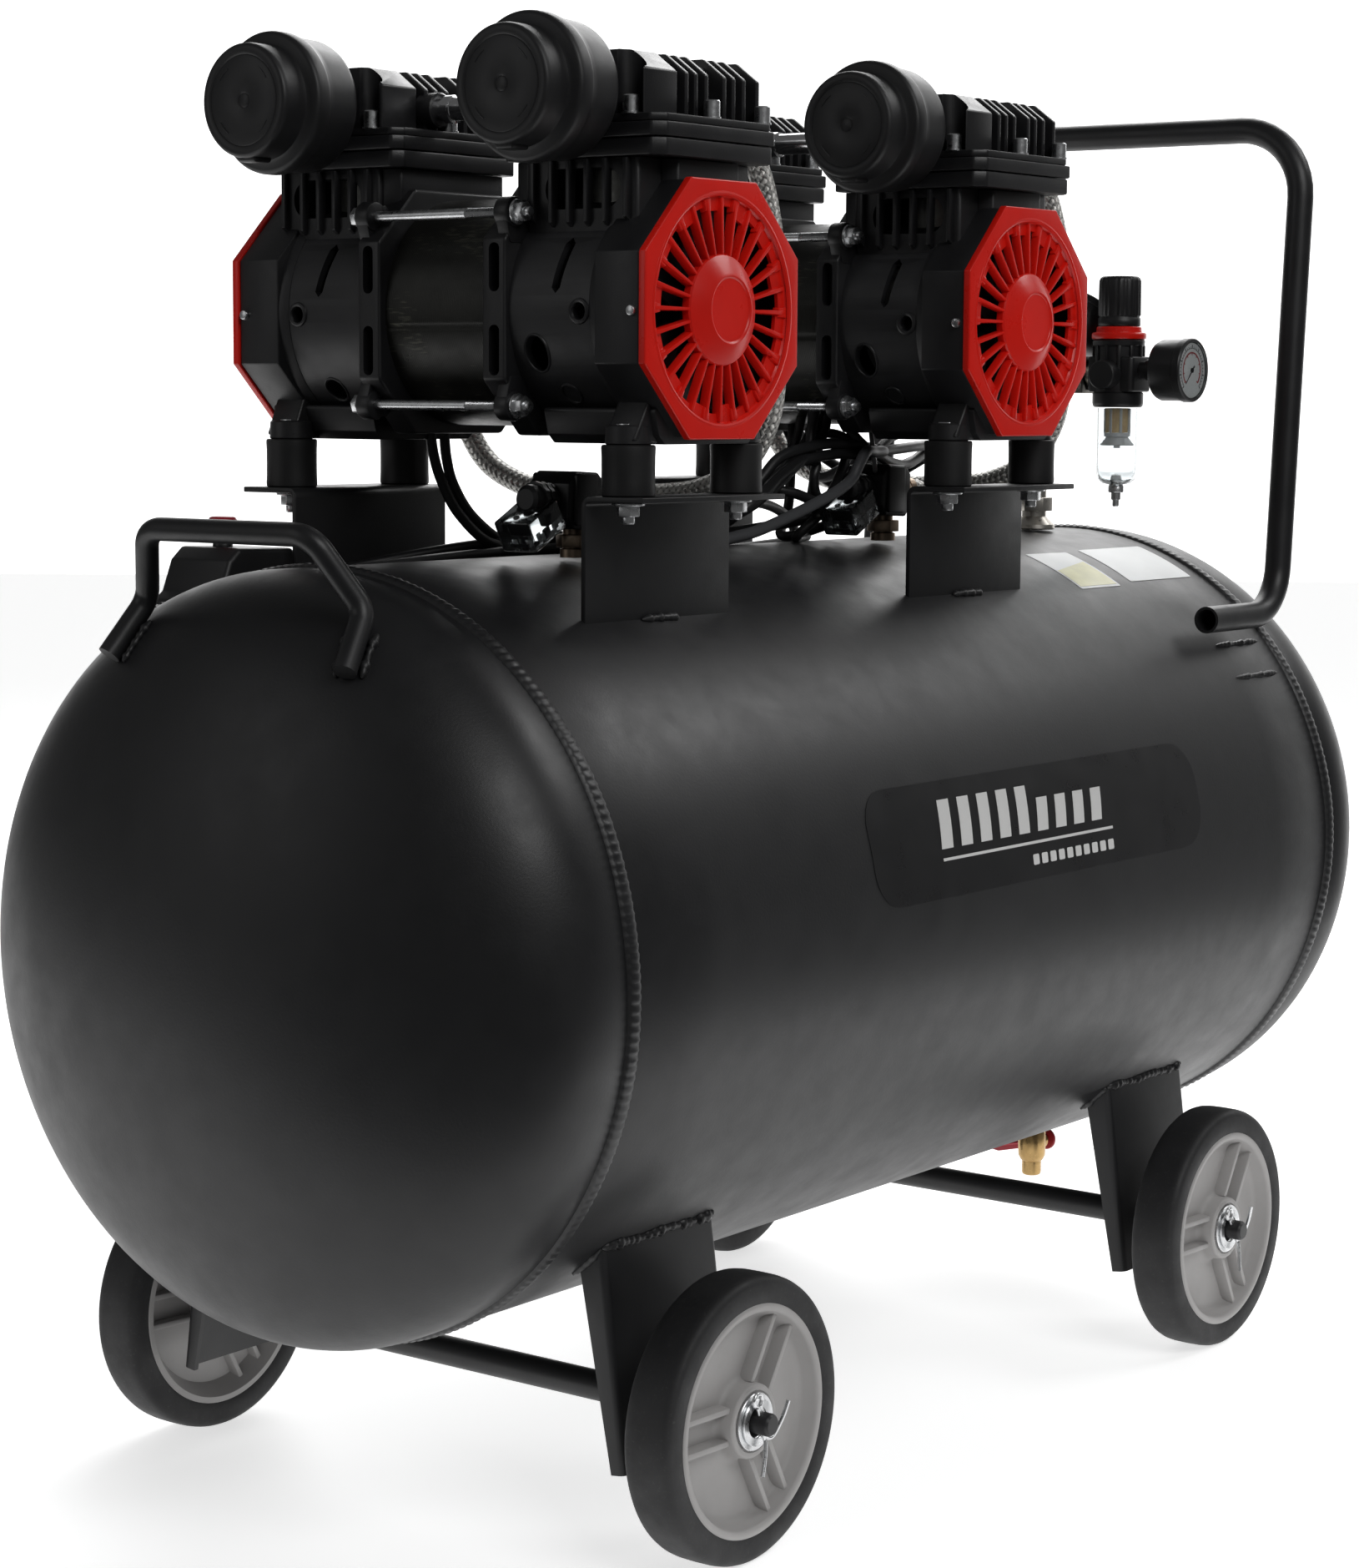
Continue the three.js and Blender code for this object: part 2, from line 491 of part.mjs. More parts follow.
// ---------------------------------------------------------------- outlet group
{
  const [rx, ry] = REG;
  const manifold = join(
    turned("z", [[0, 507.6], [14, 507.6], [14, 511], [8, 516], [8, PIPE_Z - 4], [0, PIPE_Z - 4]], 10, [rx, -8, 0]),
    rod("y", 10, ry + 17.6, 4, 6, [rx, 0, PIPE_Z]),
    rod("y", 12.5, ry + 22, ry + 32, 6, [rx, 0, PIPE_Z]),
    rodBetween(V3(rx, -24, PIPE_Z), V3(rx + 12, -30, PIPE_Z + 24), 5, 10),
    rodBetween(V3(rx + 9, -29, PIPE_Z + 20), V3(rx + 25, -39, PIPE_Z + 43), 18.5, 14),
  );
  mesh(compressor, "outlet_manifold", manifold, STEEL);
  const body = join(
    turned("z", [[0, 589], [16, 589], [17.2, 591], [17.2, 632], [15.5, 634], [0, 634]], 12, [rx, ry, 0]),
    box(rx - 13, rx + 13, ry - 16.5, ry + 16.8, PIPE_Z - 11, PIPE_Z + 11),
    turned("z", [[0, 633], [17.8, 633], [17.8, 636], [14.5, 638], [14.5, 641], [0, 641]], 12, [rx, ry, 0]),
    rod("x", 9, 8, 23, 12, [rx, ry, PIPE_Z]),
  );
  mesh(compressor, "regulator_body", cut(body, rod("x", 5, 17, 40, 12, [rx, ry, PIPE_Z])), BLACK_PLASTIC);
  mesh(
    compressor,
    "regulator_knob",
    turned("z", [[0, 641.4], [13.6, 641.4], [13.6, 646], [13.9, 648], [13.2, 671.5], [11.5, 673.8], [0, 673.8]], 14, [rx, ry, 0]),
    BLACK_PLASTIC,
  );
  mesh(
    compressor,
    "filter_bowl",
    turned("z", [[0, 588.6], [14.6, 588.6], [14.2, 546], [11, 540.5], [5.5, 539], [5.5, 533], [2.6, 532], [2.6, 524], [0, 524]], 14, [rx, ry, 0]),
    CLEAR,
  );
  mesh(
    compressor,
    "outlet_gauge",
    turned("y", [[0, -125], [19.5, -125], [20.5, -123.5], [20.5, -101.5], [18.5, -100], [6, -100], [6, ry - 17.2], [0, ry - 17.2]], 16, [rx, 0, PIPE_Z + 3]),
    BLACK_PLASTIC,
  );
}

// ---------------------------------------------------------------- drain valve
{
  const body = turned("z", [[0, 106.6], [9, 106.6], [9, 97], [10.5, 96], [10.5, 76], [8.8, 74], [8.8, 71], [7.4, 70], [7.4, 62], [0, 62]], 12, [DRAIN_X, 0, 0]);
  const stem = rod("x", 4, 8, 17, 8, [DRAIN_X, 0, 84]);
  mesh(compressor, "drain_valve_body", join(body, stem), BRASS);
  const lever = join(
    rod("x", 7.5, 17.3, 20.3, 16, [DRAIN_X, 0, 84]),
    box(DRAIN_X + 17.3, DRAIN_X + 19.8, 2, 46, -5, 4).rotate([-13, 0, 0]).translate([0, 0, 84]),
  );
  mesh(compressor, "drain_valve_lever", lever, LEVER);
}

// ---------------------------------------------------------------- pressure switch
{
  const px = -305, py = 132;
  const body = join(
    box(px - 38, px + 34, py - 24, py + 24, 462, 505),
    box(px - 30, px + 26, py - 20, py + 20, 504, 512),
    rod("z", 9, 440, 465, 12, [px, py, 0]),
    rod("x", 8, px - 50, px - 36, 10, [0, py - 8, 482]),
  );
  mesh(compressor, "pressure_switch", cut(body, envelope), BLACK_PLASTIC);
  mesh(
    compressor,
    "pressure_switch_knob",
    turned("z", [[0, 515.3], [7, 515.3], [8, 517], [8, 526], [6, 528], [0, 528]], 12, [px - 6, py, 0]),
    LEVER,
  );
}

export default compressor;
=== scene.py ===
import bpy
import bmesh
import math
import random
from mathutils import Vector, Matrix, noise

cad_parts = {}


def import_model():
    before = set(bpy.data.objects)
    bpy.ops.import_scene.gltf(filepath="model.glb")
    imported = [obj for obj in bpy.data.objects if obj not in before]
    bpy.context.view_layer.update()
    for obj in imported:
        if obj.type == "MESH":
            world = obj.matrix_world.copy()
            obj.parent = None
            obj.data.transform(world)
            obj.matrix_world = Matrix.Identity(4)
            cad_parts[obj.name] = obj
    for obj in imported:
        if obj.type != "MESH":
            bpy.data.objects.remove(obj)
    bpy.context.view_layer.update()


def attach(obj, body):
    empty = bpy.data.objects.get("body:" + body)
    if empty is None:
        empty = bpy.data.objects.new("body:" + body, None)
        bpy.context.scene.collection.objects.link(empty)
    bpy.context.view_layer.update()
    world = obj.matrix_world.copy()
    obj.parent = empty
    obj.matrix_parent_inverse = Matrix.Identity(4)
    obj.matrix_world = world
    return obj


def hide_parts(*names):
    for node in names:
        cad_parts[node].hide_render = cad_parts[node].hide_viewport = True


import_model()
scene = bpy.context.scene
rnd = random.Random(7)

# ------------------------------------------------------------------ geometry helpers
class S:
    """Vertices in mm and faces."""

    def __init__(self, v=None, f=None):
        self.v = list(v or [])
        self.f = list(f or [])

    def add(self, *others):
        for o in others:
            n = len(self.v)
            self.v += o.v
            self.f += [tuple(i + n for i in q) for q in o.f]
        return self

    def map(self, fn):
        return S([tuple(fn(p)) for p in self.v], self.f)

    def move(self, x=0, y=0, z=0):
        return S([(a + x, b + y, c + z) for a, b, c in self.v], self.f)

    def mat(self, m):
        return S([tuple(m @ Vector(p)) for p in self.v], self.f)

    def turn(self, axis, deg, c=(0, 0, 0)):
        m = Matrix.Translation(Vector(c)) @ Matrix.Rotation(math.radians(deg), 4, axis) @ Matrix.Translation(-Vector(c))
        return self.mat(m)

    def flip(self, ax=1):
        def fn(p):
            q = list(p)
            q[ax] = -q[ax]
            return q
        return S([tuple(fn(p)) for p in self.v], [tuple(reversed(q)) for q in self.f])


def ax3(axis, a, b, t):
    """A point with in-plane coordinates a, b and t along the axis."""
    return {"x": (t, a, b), "y": (a, t, b), "z": (a, b, t)}[axis]


def lathe(axis, prof, seg=48, c=(0, 0, 0), closed=False, rfun=None):
    """prof is [(radius, position)...]; radius 0 at an end closes it in a pole."""
    v, rings = [], []
    for r, t in prof:
        if r < 1e-6:
            rings.append([len(v)])
            q = ax3(axis, 0, 0, t)
            v.append((q[0] + c[0], q[1] + c[1], q[2] + c[2]))
        else:
            ring = []
            for i in range(seg):
                a = 2 * math.pi * (i + 0.5) / seg
                rr = r * (rfun(a, t) if rfun else 1)
                q = ax3(axis, rr * math.cos(a), rr * math.sin(a), t)
                ring.append(len(v))
                v.append((q[0] + c[0], q[1] + c[1], q[2] + c[2]))
            rings.append(ring)
    f = []
    pairs = list(zip(rings, rings[1:])) + ([(rings[-1], rings[0])] if closed else [])
    for A, B in pairs:
        if len(A) == 1 and len(B) == 1:
            continue
        for i in range(seg):
            j = (i + 1) % seg
            if len(A) == 1:
                f.append((A[0], B[j], B[i]))
            elif len(B) == 1:
                f.append((A[i], A[j], B[0]))
            else:
                f.append((A[i], A[j], B[j], B[i]))
    if not closed:
        if len(rings[0]) > 1:
            f.append(tuple(rings[0]))
        if len(rings[-1]) > 1:
            f.append(tuple(reversed(rings[-1])))
    return S(v, f)


def rnd_poly(pts, rad, n=4, closed=True):
    """Polygon with its corners rounded; rad is one number or one per corner."""
    out = []
    m = len(pts)
    for i, p in enumerate(pts):
        r = rad[i] if isinstance(rad, (list, tuple)) else rad
        if r <= 0 or (not closed and i in (0, m - 1)):
            out.append(tuple(p))
            continue
        p = Vector(p)
        a = (Vector(pts[i - 1]) - p)
        b = (Vector(pts[(i + 1) % m]) - p)
        la, lb = a.length, b.length
        a.normalize()
        b.normalize()
        h = math.acos(max(-1, min(1, a.dot(b)))) / 2
        if h < 0.02 or h > math.pi / 2 - 0.01:
            out.append(tuple(p))
            continue
        t = min(r / math.tan(h), la * 0.49, lb * 0.49)
        rr = t * math.tan(h)
        c = p + (a + b).normalized() * (rr / math.sin(h))
        s, e = p + a * t - c, p + b * t - c
        w = s.angle(e) if len(s) == 3 else math.acos(max(-1, min(1, s.normalized().dot(e.normalized()))))
        for k in range(n + 1):
            u = k / n
            q = (s * math.sin((1 - u) * w) + e * math.sin(u * w)) / math.sin(w)
            out.append(tuple(c + q))
    return out


def prism(axis, outline, t0, t1, bevel=0.0, seg=2):
    n = len(outline)
    v = [ax3(axis, a, b, t0) for a, b in outline] + [ax3(axis, a, b, t1) for a, b in outline]
    f = [tuple(range(n)), tuple(range(2 * n - 1, n - 1, -1))]
    f += [(i, i + n, (i + 1) % n + n, (i + 1) % n) for i in range(n)]
    s = S(v, f)
    return bevelled(s, bevel, seg) if bevel else s


def bevelled(s, r, seg=2, angle=28):
    bm = bmesh.new()
    vs = [bm.verts.new(p) for p in s.v]
    for q in s.f:
        try:
            bm.faces.new([vs[i] for i in q])
        except ValueError:
            pass
    bmesh.ops.recalc_face_normals(bm, faces=bm.faces)
    bm.normal_update()
    es = [e for e in bm.edges if len(e.link_faces) == 2 and e.calc_face_angle(0) > math.radians(angle)]
    if es:
        bmesh.ops.bevel(bm, geom=es, offset=r, segments=seg, profile=0.5, affect="EDGES", clamp_overlap=True)
    bm.verts.index_update()
    out = S([tuple(v.co) for v in bm.verts], [tuple(v.index for v in f.verts) for f in bm.faces])
    bm.free()
    return out


def box(x0, x1, y0, y1, z0, z1, bevel=0.6, seg=2):
    return prism("z", [(x0, y0), (x1, y0), (x1, y1), (x0, y1)], z0, z1, bevel, seg)


def cyl(axis, r, t0, t1, c=(0, 0, 0), seg=28, b=0.0):
    b = min(b, r * 0.45, (t1 - t0) * 0.45)
    if b:
        prof = [(0, t0), (r - b, t0), (r - b * 0.3, t0 + b * 0.3), (r, t0 + b), (r, t1 - b), (r - b * 0.3, t1 - b * 0.3), (r - b, t1), (0, t1)]
    else:
        prof = [(0, t0), (r, t0), (r, t1), (0, t1)]
    return lathe(axis, prof, seg, c)


def ring(axis, r0, r1, t0, t1, c=(0, 0, 0), seg=36, b=0.4):
    b = min(b, (r1 - r0) * 0.4, (t1 - t0) * 0.4)
    prof = [(r0 + b, t0), (r1 - b, t0), (r1, t0 + b), (r1, t1 - b), (r1 - b, t1), (r0 + b, t1), (r0, t1 - b), (r0, t0 + b)]
    return lathe(axis, prof, seg, c, closed=True)


def along(a, b, s):
    """Moves a solid built along +Z from the origin so that it runs from a towards b."""
    a, b = Vector(a), Vector(b)
    q = Vector((0, 0, 1)).rotation_difference((b - a).normalized())
    return s.mat(Matrix.Translation(a) @ q.to_matrix().to_4x4())


def smooth(pts, n=8, closed=False):
    """Centripetal-like Catmull-Rom through the points."""
    P = [Vector(p) for p in pts]
    m = len(P)
    out = []
    rng = range(m if closed else m - 1)
    for i in rng:
        p1, p2 = P[i], P[(i + 1) % m]
        p0 = P[i - 1] if (i or closed) else p1 * 2 - p2
        p3 = P[(i + 2) % m] if (i + 2 < m or closed) else p2 * 2 - p1
        for k in range(n):
            t = k / n
            out.append(tuple(0.5 * ((2 * p1) + (p2 - p0) * t + (2 * p0 - 5 * p1 + 4 * p2 - p3) * t * t + (3 * p1 - p0 - 3 * p2 + p3) * t ** 3)))
    if not closed:
        out.append(tuple(P[-1]))
    return out


def tube(pts, r, sides=12, caps=True, closed=False, flat=1.0):
    """Round tube through the points; r is a number or a function of (index, length so far)."""
    P = [Vector(p) for p in pts]
    n = len(P)
    v, f = [], []
    up = None
    ln = 0.0
    us = []
    for i in range(n):
        if closed:
            t = (P[(i + 1) % n] - P[i - 1]).normalized()
        else:
            t = (P[min(i + 1, n - 1)] - P[max(i - 1, 0)]).normalized()
        if i:
            ln += (P[i] - P[i - 1]).length
        if up is None:
            up = Vector((0, 0, 1)) if abs(t.z) < 0.9 else Vector((1, 0, 0))
        side = t.cross(up).normalized()
        up = side.cross(t).normalized()
        rr = r(i, ln) if callable(r) else r
        for k in range(sides):
            a = 2 * math.pi * k / sides
            v.append(tuple(P[i] + side * (rr * math.cos(a)) + up * (rr * flat * math.sin(a))))
        us.append(ln)
    for i in range(n if closed else n - 1):
        for k in range(sides):
            a, b = i * sides + k, i * sides + (k + 1) % sides
            c, d = ((i + 1) % n) * sides + k, ((i + 1) % n) * sides + (k + 1) % sides
            f.append((a, c, d, b))
    if caps and not closed:
        f.append(tuple(range(sides)))
        f.append(tuple(range((n - 1) * sides, n * sides))[::-1])
    s = S(v, f)
    s.lengths = us
    s.sides = sides
    return s


def boolean(a, tools, op="DIFFERENCE"):
    """Solid a with the tools cut out of it, or joined to it, one by one."""
    def obj(s):
        me = bpy.data.meshes.new("tmp")
        me.from_pydata(s.v, [], s.f)
        bm = bmesh.new()
        bm.from_mesh(me)
        bmesh.ops.recalc_face_normals(bm, faces=bm.faces)
        bm.to_mesh(me)
        bm.free()
        o = bpy.data.objects.new("tmp", me)
        scene.collection.objects.link(o)
        return o
    base = obj(a)
    extra = []
    for t in tools:
        to = obj(t)
        extra.append(to)
        m = base.modifiers.new("b", "BOOLEAN")
        m.operation = op
        m.object = to
        m.solver = "MANIFOLD"
    dg = bpy.context.evaluated_depsgraph_get()
    dg.update()
    me = bpy.data.meshes.new_from_object(base.evaluated_get(dg))
    out = S([tuple(v.co) for v in me.vertices], [tuple(p.vertices) for p in me.polygons])
    for o in [base] + extra:
        d = o.data
        bpy.data.objects.remove(o)
        bpy.data.meshes.remove(d)
    bpy.data.meshes.remove(me)
    return out


def emit(name, s, mat, body="root", rep=(), slot=None, sharp=35, uv=None):
    me = bpy.data.meshes.new(name)
    me.from_pydata([(x * 0.001, y * 0.001, z * 0.001) for x, y, z in s.v], [], s.f)
    bm = bmesh.new()
    bm.from_mesh(me)
    bmesh.ops.recalc_face_normals(bm, faces=bm.faces)
    bm.to_mesh(me)
    bm.free()
    me.polygons.foreach_set("use_smooth", [True] * len(me.polygons))
    me.set_sharp_from_angle(angle=math.radians(sharp))
    me.update()
    me.materials.append(mat)
    if uv:
        layer = me.uv_layers.new(name="UVMap")
        for p in me.polygons:
            for li in p.loop_indices:
                layer.data[li].uv = uv(me.loops[li].vertex_index, p.index, len(p.vertices))
    o = bpy.data.objects.new(name, me)
    scene.collection.objects.link(o)
    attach(o, body)
    if rep:
        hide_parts(*([rep] if isinstance(rep, str) else rep))
    return o


# ------------------------------------------------------------------ materials
def material(name, base, rough, metal=0.0, var=0.12, rvar=0.08, grain=0.0, grain_scale=900.0, wave=0.0, wave_scale=12.0,
             coat=0.0, spec=0.5, dust=0.0, dust_color=(0.35, 0.34, 0.32), dust_scale=140.0, scratch=0.0, stretch=(1, 1, 1), edge=0.0,
             edge_color=(0.2, 0.2, 0.2), trans=0.0, ior=None, cloud=18.0):
    m = bpy.data.materials.new(name)
    m.use_nodes = True
    nt = m.node_tree
    N, L = nt.nodes, nt.links
    N.clear()
    out = N.new("ShaderNodeOutputMaterial")
    b = N.new("ShaderNodeBsdfPrincipled")
    L.new(b.outputs[0], out.inputs[0])
    b.inputs["Metallic"].default_value = metal
    b.inputs["Specular IOR Level"].default_value = spec
    b.inputs["Coat Weight"].default_value = coat
    b.inputs["Coat Roughness"].default_value = 0.12
    if trans:
        b.inputs["Transmission Weight"].default_value = trans
    if ior:
        b.inputs["IOR"].default_value = ior
    co = N.new("ShaderNodeTexCoord")
    mp = N.new("ShaderNodeMapping")
    mp.inputs["Scale"].default_value = stretch
    L.new(co.outputs["Object"], mp.inputs["Vector"])
    V = mp.outputs["Vector"]

    def noise_tex(scale, detail=4.0, r=0.55):
        n = N.new("ShaderNodeTexNoise")
        n.inputs["Scale"].default_value = scale
        n.inputs["Detail"].default_value = detail
        n.inputs["Roughness"].default_value = r
        L.new(V, n.inputs["Vector"])
        return n.outputs["Fac"]

    def ramp(x, a, c, lo, hi):
        r = N.new("ShaderNodeMapRange")
        r.inputs["From Min"].default_value = a
        r.inputs["From Max"].default_value = c
        r.inputs["To Min"].default_value = lo
        r.inputs["To Max"].default_value = hi
        L.new(x, r.inputs["Value"])
        return r.outputs["Result"]

    def mix(fac, a, c):
        x = N.new("ShaderNodeMix")
        x.data_type = "RGBA"
        L.new(fac, x.inputs["Factor"])
        for s_, val in (("A", a), ("B", c)):
            sock = [i for i in x.inputs if i.name == s_ and i.type == "RGBA"][0]
            if isinstance(val, tuple):
                sock.default_value = (*val[:3], 1)
            else:
                L.new(val, sock)
        return [o for o in x.outputs if o.type == "RGBA"][0]

    cl = noise_tex(cloud, 5.0, 0.6)
    dark = tuple(c * (1 - var) for c in base)
    light = tuple(min(1, c * (1 + var)) for c in base)
    col = mix(ramp(cl, 0.3, 0.7, 0, 1), dark, light)
    rgh = ramp(noise_tex(cloud * 2.3, 6.0, 0.65), 0.3, 0.7, max(0.02, rough - rvar), min(1, rough + rvar))
    if dust:
        d = ramp(noise_tex(dust_scale, 8.0, 0.75), 0.62 - 0.1 * dust, 0.78, 0, min(1.0, dust))
        col = mix(d, col, dust_color)
    if edge:
        g = N.new("ShaderNodeNewGeometry")
        e = ramp(g.outputs["Pointiness"], 0.53, 0.62, 0, edge)
        col = mix(e, col, edge_color)
    heights = []
    if grain:
        heights.append((noise_tex(grain_scale, 2.0, 0.5), grain))
    if wave:
        heights.append((noise_tex(wave_scale, 2.0, 0.5), wave))
    if scratch:
        mp2 = N.new("ShaderNodeMapping")
        mp2.inputs["Scale"].default_value = (35, 900, 900)
        L.new(co.outputs["Object"], mp2.inputs["Vector"])
        n2 = N.new("ShaderNodeTexNoise")
        n2.inputs["Scale"].default_value = 1.0
        n2.inputs["Detail"].default_value = 3.0
        L.new(mp2.outputs["Vector"], n2.inputs["Vector"])
        heights.append((n2.outputs["Fac"], scratch))
    L.new(col, b.inputs["Base Color"])
    L.new(rgh, b.inputs["Roughness"])
    last = None
    for h, depth in heights:
        bp = N.new("ShaderNodeBump")
        bp.inputs["Strength"].default_value = 1.0
        bp.inputs["Distance"].default_value = depth * 0.001
        L.new(h, bp.inputs["Height"])
        if last is not None:
            L.new(last, bp.inputs["Normal"])
        last = bp.outputs["Normal"]
    if last is not None:
        L.new(last, b.inputs["Normal"])
    return m


POWDER = material("powder_coat_black", (0.0105, 0.0107, 0.0118), 0.43, var=0.1, rvar=0.05, grain=0.05, grain_scale=700, wave=0.35, wave_scale=9, dust=0.12, dust_color=(0.06, 0.06, 0.06), dust_scale=260)
POWDER_SMALL = material("powder_coat_brackets", (0.0105, 0.0107, 0.0118), 0.42, var=0.15, rvar=0.07, grain=0.04, grain_scale=800, edge=0.5, edge_color=(0.035, 0.035, 0.035), dust=0.15, dust_color=(0.06, 0.06, 0.06), dust_scale=200)
CAST = material("cast_housing_black", (0.0085, 0.0085, 0.0095), 0.42, var=0.18, rvar=0.08, grain=0.06, grain_scale=1100, edge=0.6, edge_color=(0.03, 0.03, 0.032))
HEADM = material("cylinder_head_black", (0.008, 0.008, 0.009), 0.38, var=0.2, rvar=0.08, grain=0.05, grain_scale=1300, edge=0.6, edge_color=(0.03, 0.03, 0.032))
RED = material("gloss_red_plastic", (0.80, 0.014, 0.007), 0.3, var=0.08, rvar=0.05, grain=0.012, grain_scale=900, coat=0.1, spec=0.35, wave=0.05, wave_scale=60)
FILTERM = material("moulded_filter_plastic", (0.011, 0.011, 0.012), 0.46, var=0.12, rvar=0.06, grain=0.03, grain_scale=1800)
RUBBER = material("tyre_rubber", (0.0125, 0.0125, 0.0135), 0.62, var=0.25, rvar=0.1, grain=0.05, grain_scale=700, dust=0.5, dust_color=(0.085, 0.082, 0.078), dust_scale=420)
MOUNTM = material("mount_rubber", (0.0085, 0.0085, 0.009), 0.5, var=0.15, rvar=0.08, grain=0.03, grain_scale=900)
HUB = material("hub_plastic_grey", (0.39, 0.38, 0.375), 0.48, var=0.06, rvar=0.06, grain=0.02, grain_scale=1300, dust=0.25, dust_color=(0.25, 0.24, 0.22), dust_scale=60)
ZINC = material("zinc_plate", (0.72, 0.73, 0.74), 0.3, metal=1.0, var=0.1, rvar=0.08, grain=0.003, grain_scale=900, cloud=160)
CHROME = material("chrome_tube", (0.8, 0.8, 0.81), 0.12, metal=1.0, var=0.04, rvar=0.06, grain=0.004, grain_scale=500, cloud=60)
NICKEL = material("satin_nickel", (0.60, 0.57, 0.52), 0.33, metal=1.0, var=0.12, rvar=0.08, grain=0.004, grain_scale=900, cloud=120)
BRASS = material("turned_brass", (0.50, 0.33, 0.14), 0.33, metal=1.0, var=0.15, rvar=0.1, grain=0.004, grain_scale=900, cloud=140)
BRONZE = material("dull_bronze_fitting", (0.34, 0.26, 0.19), 0.38, metal=1.0, var=0.2, rvar=0.1, grain=0.02, grain_scale=900, cloud=140)
LEVER = material("dipped_red_vinyl", (0.38, 0.012, 0.025), 0.38, var=0.1, rvar=0.08, grain=0.02, grain_scale=600)
BLACKP = material("black_nylon", (0.010, 0.010, 0.011), 0.4, var=0.12, rvar=0.08, grain=0.025, grain_scale=1500)
CABLE = material("cable_sheath_black", (0.012, 0.012, 0.013), 0.45, var=0.15, rvar=0.08, grain=0.02, grain_scale=900)
CABLE_GREY = material("cable_sheath_grey", (0.075, 0.077, 0.082), 0.45, var=0.1, rvar=0.08, grain=0.02, grain_scale=900)
TIE = material("cable_tie_grey", (0.3, 0.3, 0.3), 0.4, var=0.1, rvar=0.05, grain=0.01, grain_scale=900)
WHITE = material("white_print", (0.78, 0.78, 0.77), 0.45, var=0.03, rvar=0.05, grain=0.005, grain_scale=900)
DECAL = material("decal_film_black", (0.0105, 0.0105, 0.0115), 0.3, var=0.08, rvar=0.04, grain=0.01, grain_scale=400, wave=0.1, wave_scale=9)
STICKER = material("sticker_white", (0.72, 0.74, 0.74), 0.4, var=0.04, rvar=0.05, grain=0.01, grain_scale=500)
STICKER_Y = material("sticker_yellow", (0.74, 0.72, 0.42), 0.4, var=0.1, rvar=0.05, grain=0.01, grain_scale=500, cloud=60)
INNER = material("fan_plastic_black", (0.006, 0.006, 0.0065), 0.5, var=0.15, rvar=0.08, grain=0.02, grain_scale=900)
LINER = material("cylinder_liner_metal", (0.16, 0.16, 0.15), 0.4, metal=1.0, var=0.2, rvar=0.1, grain=0.02, grain_scale=900, cloud=120)
PAPER = material("dial_paper", (0.93, 0.92, 0.90), 0.5, var=0.03, rvar=0.05, grain=0.004, grain_scale=900)
DIALRED = material("dial_red_ink", (0.45, 0.03, 0.03), 0.5, var=0.1, rvar=0.05, grain=0.004, grain_scale=900)
DIALBLK = material("dial_black_ink", (0.02, 0.02, 0.02), 0.5, var=0.1, rvar=0.05, grain=0.004, grain_scale=900)
# tan of the element, made lighter than its own colour: painted light standing in for the light the clear bowl keeps off
# it
SINTER = material("filter_element_tan", (0.93, 0.66, 0.36), 0.7, var=0.15, rvar=0.1, grain=0.08, grain_scale=1500, cloud=200)
WHITEP = material("white_nylon", (0.88, 0.88, 0.88), 0.4, var=0.04, rvar=0.05, grain=0.01, grain_scale=900)


def laminated():
    """Stacked laminations: fine rings across the motor axis, dark olive varnish, pale scuffs."""
    m = material("stator_laminations", (0.0165, 0.0165, 0.0135), 0.36, metal=0.35, var=0.25, rvar=0.1, cloud=26)
    nt = m.node_tree
    N, L = nt.nodes, nt.links
    b = [n for n in N if n.type == "BSDF_PRINCIPLED"][0]
    co = [n for n in N if n.type == "TEX_COORD"][0]
    sep = N.new("ShaderNodeSeparateXYZ")
    L.new(co.outputs["Object"], sep.inputs[0])
    w = N.new("ShaderNodeMath")
    w.operation = "MULTIPLY"
    w.inputs[1].default_value = 2 * math.pi / 0.0010
    L.new(sep.outputs["Y"], w.inputs[0])
    s = N.new("ShaderNodeMath")
    s.operation = "SINE"
    L.new(w.outputs[0], s.inputs[0])
    bp = N.new("ShaderNodeBump")
    bp.inputs["Strength"].default_value = 0.5
    bp.inputs["Distance"].default_value = 0.00006
    L.new(s.outputs[0], bp.inputs["Height"])
    L.new(bp.outputs["Normal"], b.inputs["Normal"])
    # scuffs: sparse pale streaks
    mp = N.new("ShaderNodeMapping")
    mp.inputs["Scale"].default_value = (60, 120, 900)
    L.new(co.outputs["Object"], mp.inputs["Vector"])
    n = N.new("ShaderNodeTexNoise")
    n.inputs["Scale"].default_value = 1.0
    n.inputs["Detail"].default_value = 6.0
    L.new(mp.outputs["Vector"], n.inputs["Vector"])
    n2 = N.new("ShaderNodeTexNoise")
    n2.inputs["Scale"].default_value = 30.0
    L.new(co.outputs["Object"], n2.inputs["Vector"])
    mul = N.new("ShaderNodeMath")
    mul.operation = "MULTIPLY"
    L.new(n.outputs["Fac"], mul.inputs[0])
    L.new(n2.outputs["Fac"], mul.inputs[1])
    r = N.new("ShaderNodeMapRange")
    r.inputs["From Min"].default_value = 0.345
    r.inputs["From Max"].default_value = 0.42
    r.inputs["To Max"].default_value = 0.5
    L.new(mul.outputs[0], r.inputs["Value"])
    old = b.inputs["Base Color"].links[0].from_socket
    mx = N.new("ShaderNodeMix")
    mx.data_type = "RGBA"
    A = [i for i in mx.inputs if i.name == "A" and i.type == "RGBA"][0]
    B = [i for i in mx.inputs if i.name == "B" and i.type == "RGBA"][0]
    L.new(r.outputs["Result"], mx.inputs["Factor"])
    L.new(old, A)
    B.default_value = (0.12, 0.12, 0.09, 1)
    L.new([o for o in mx.outputs if o.type == "RGBA"][0], b.inputs["Base Color"])
    return m


STATOR = laminated()


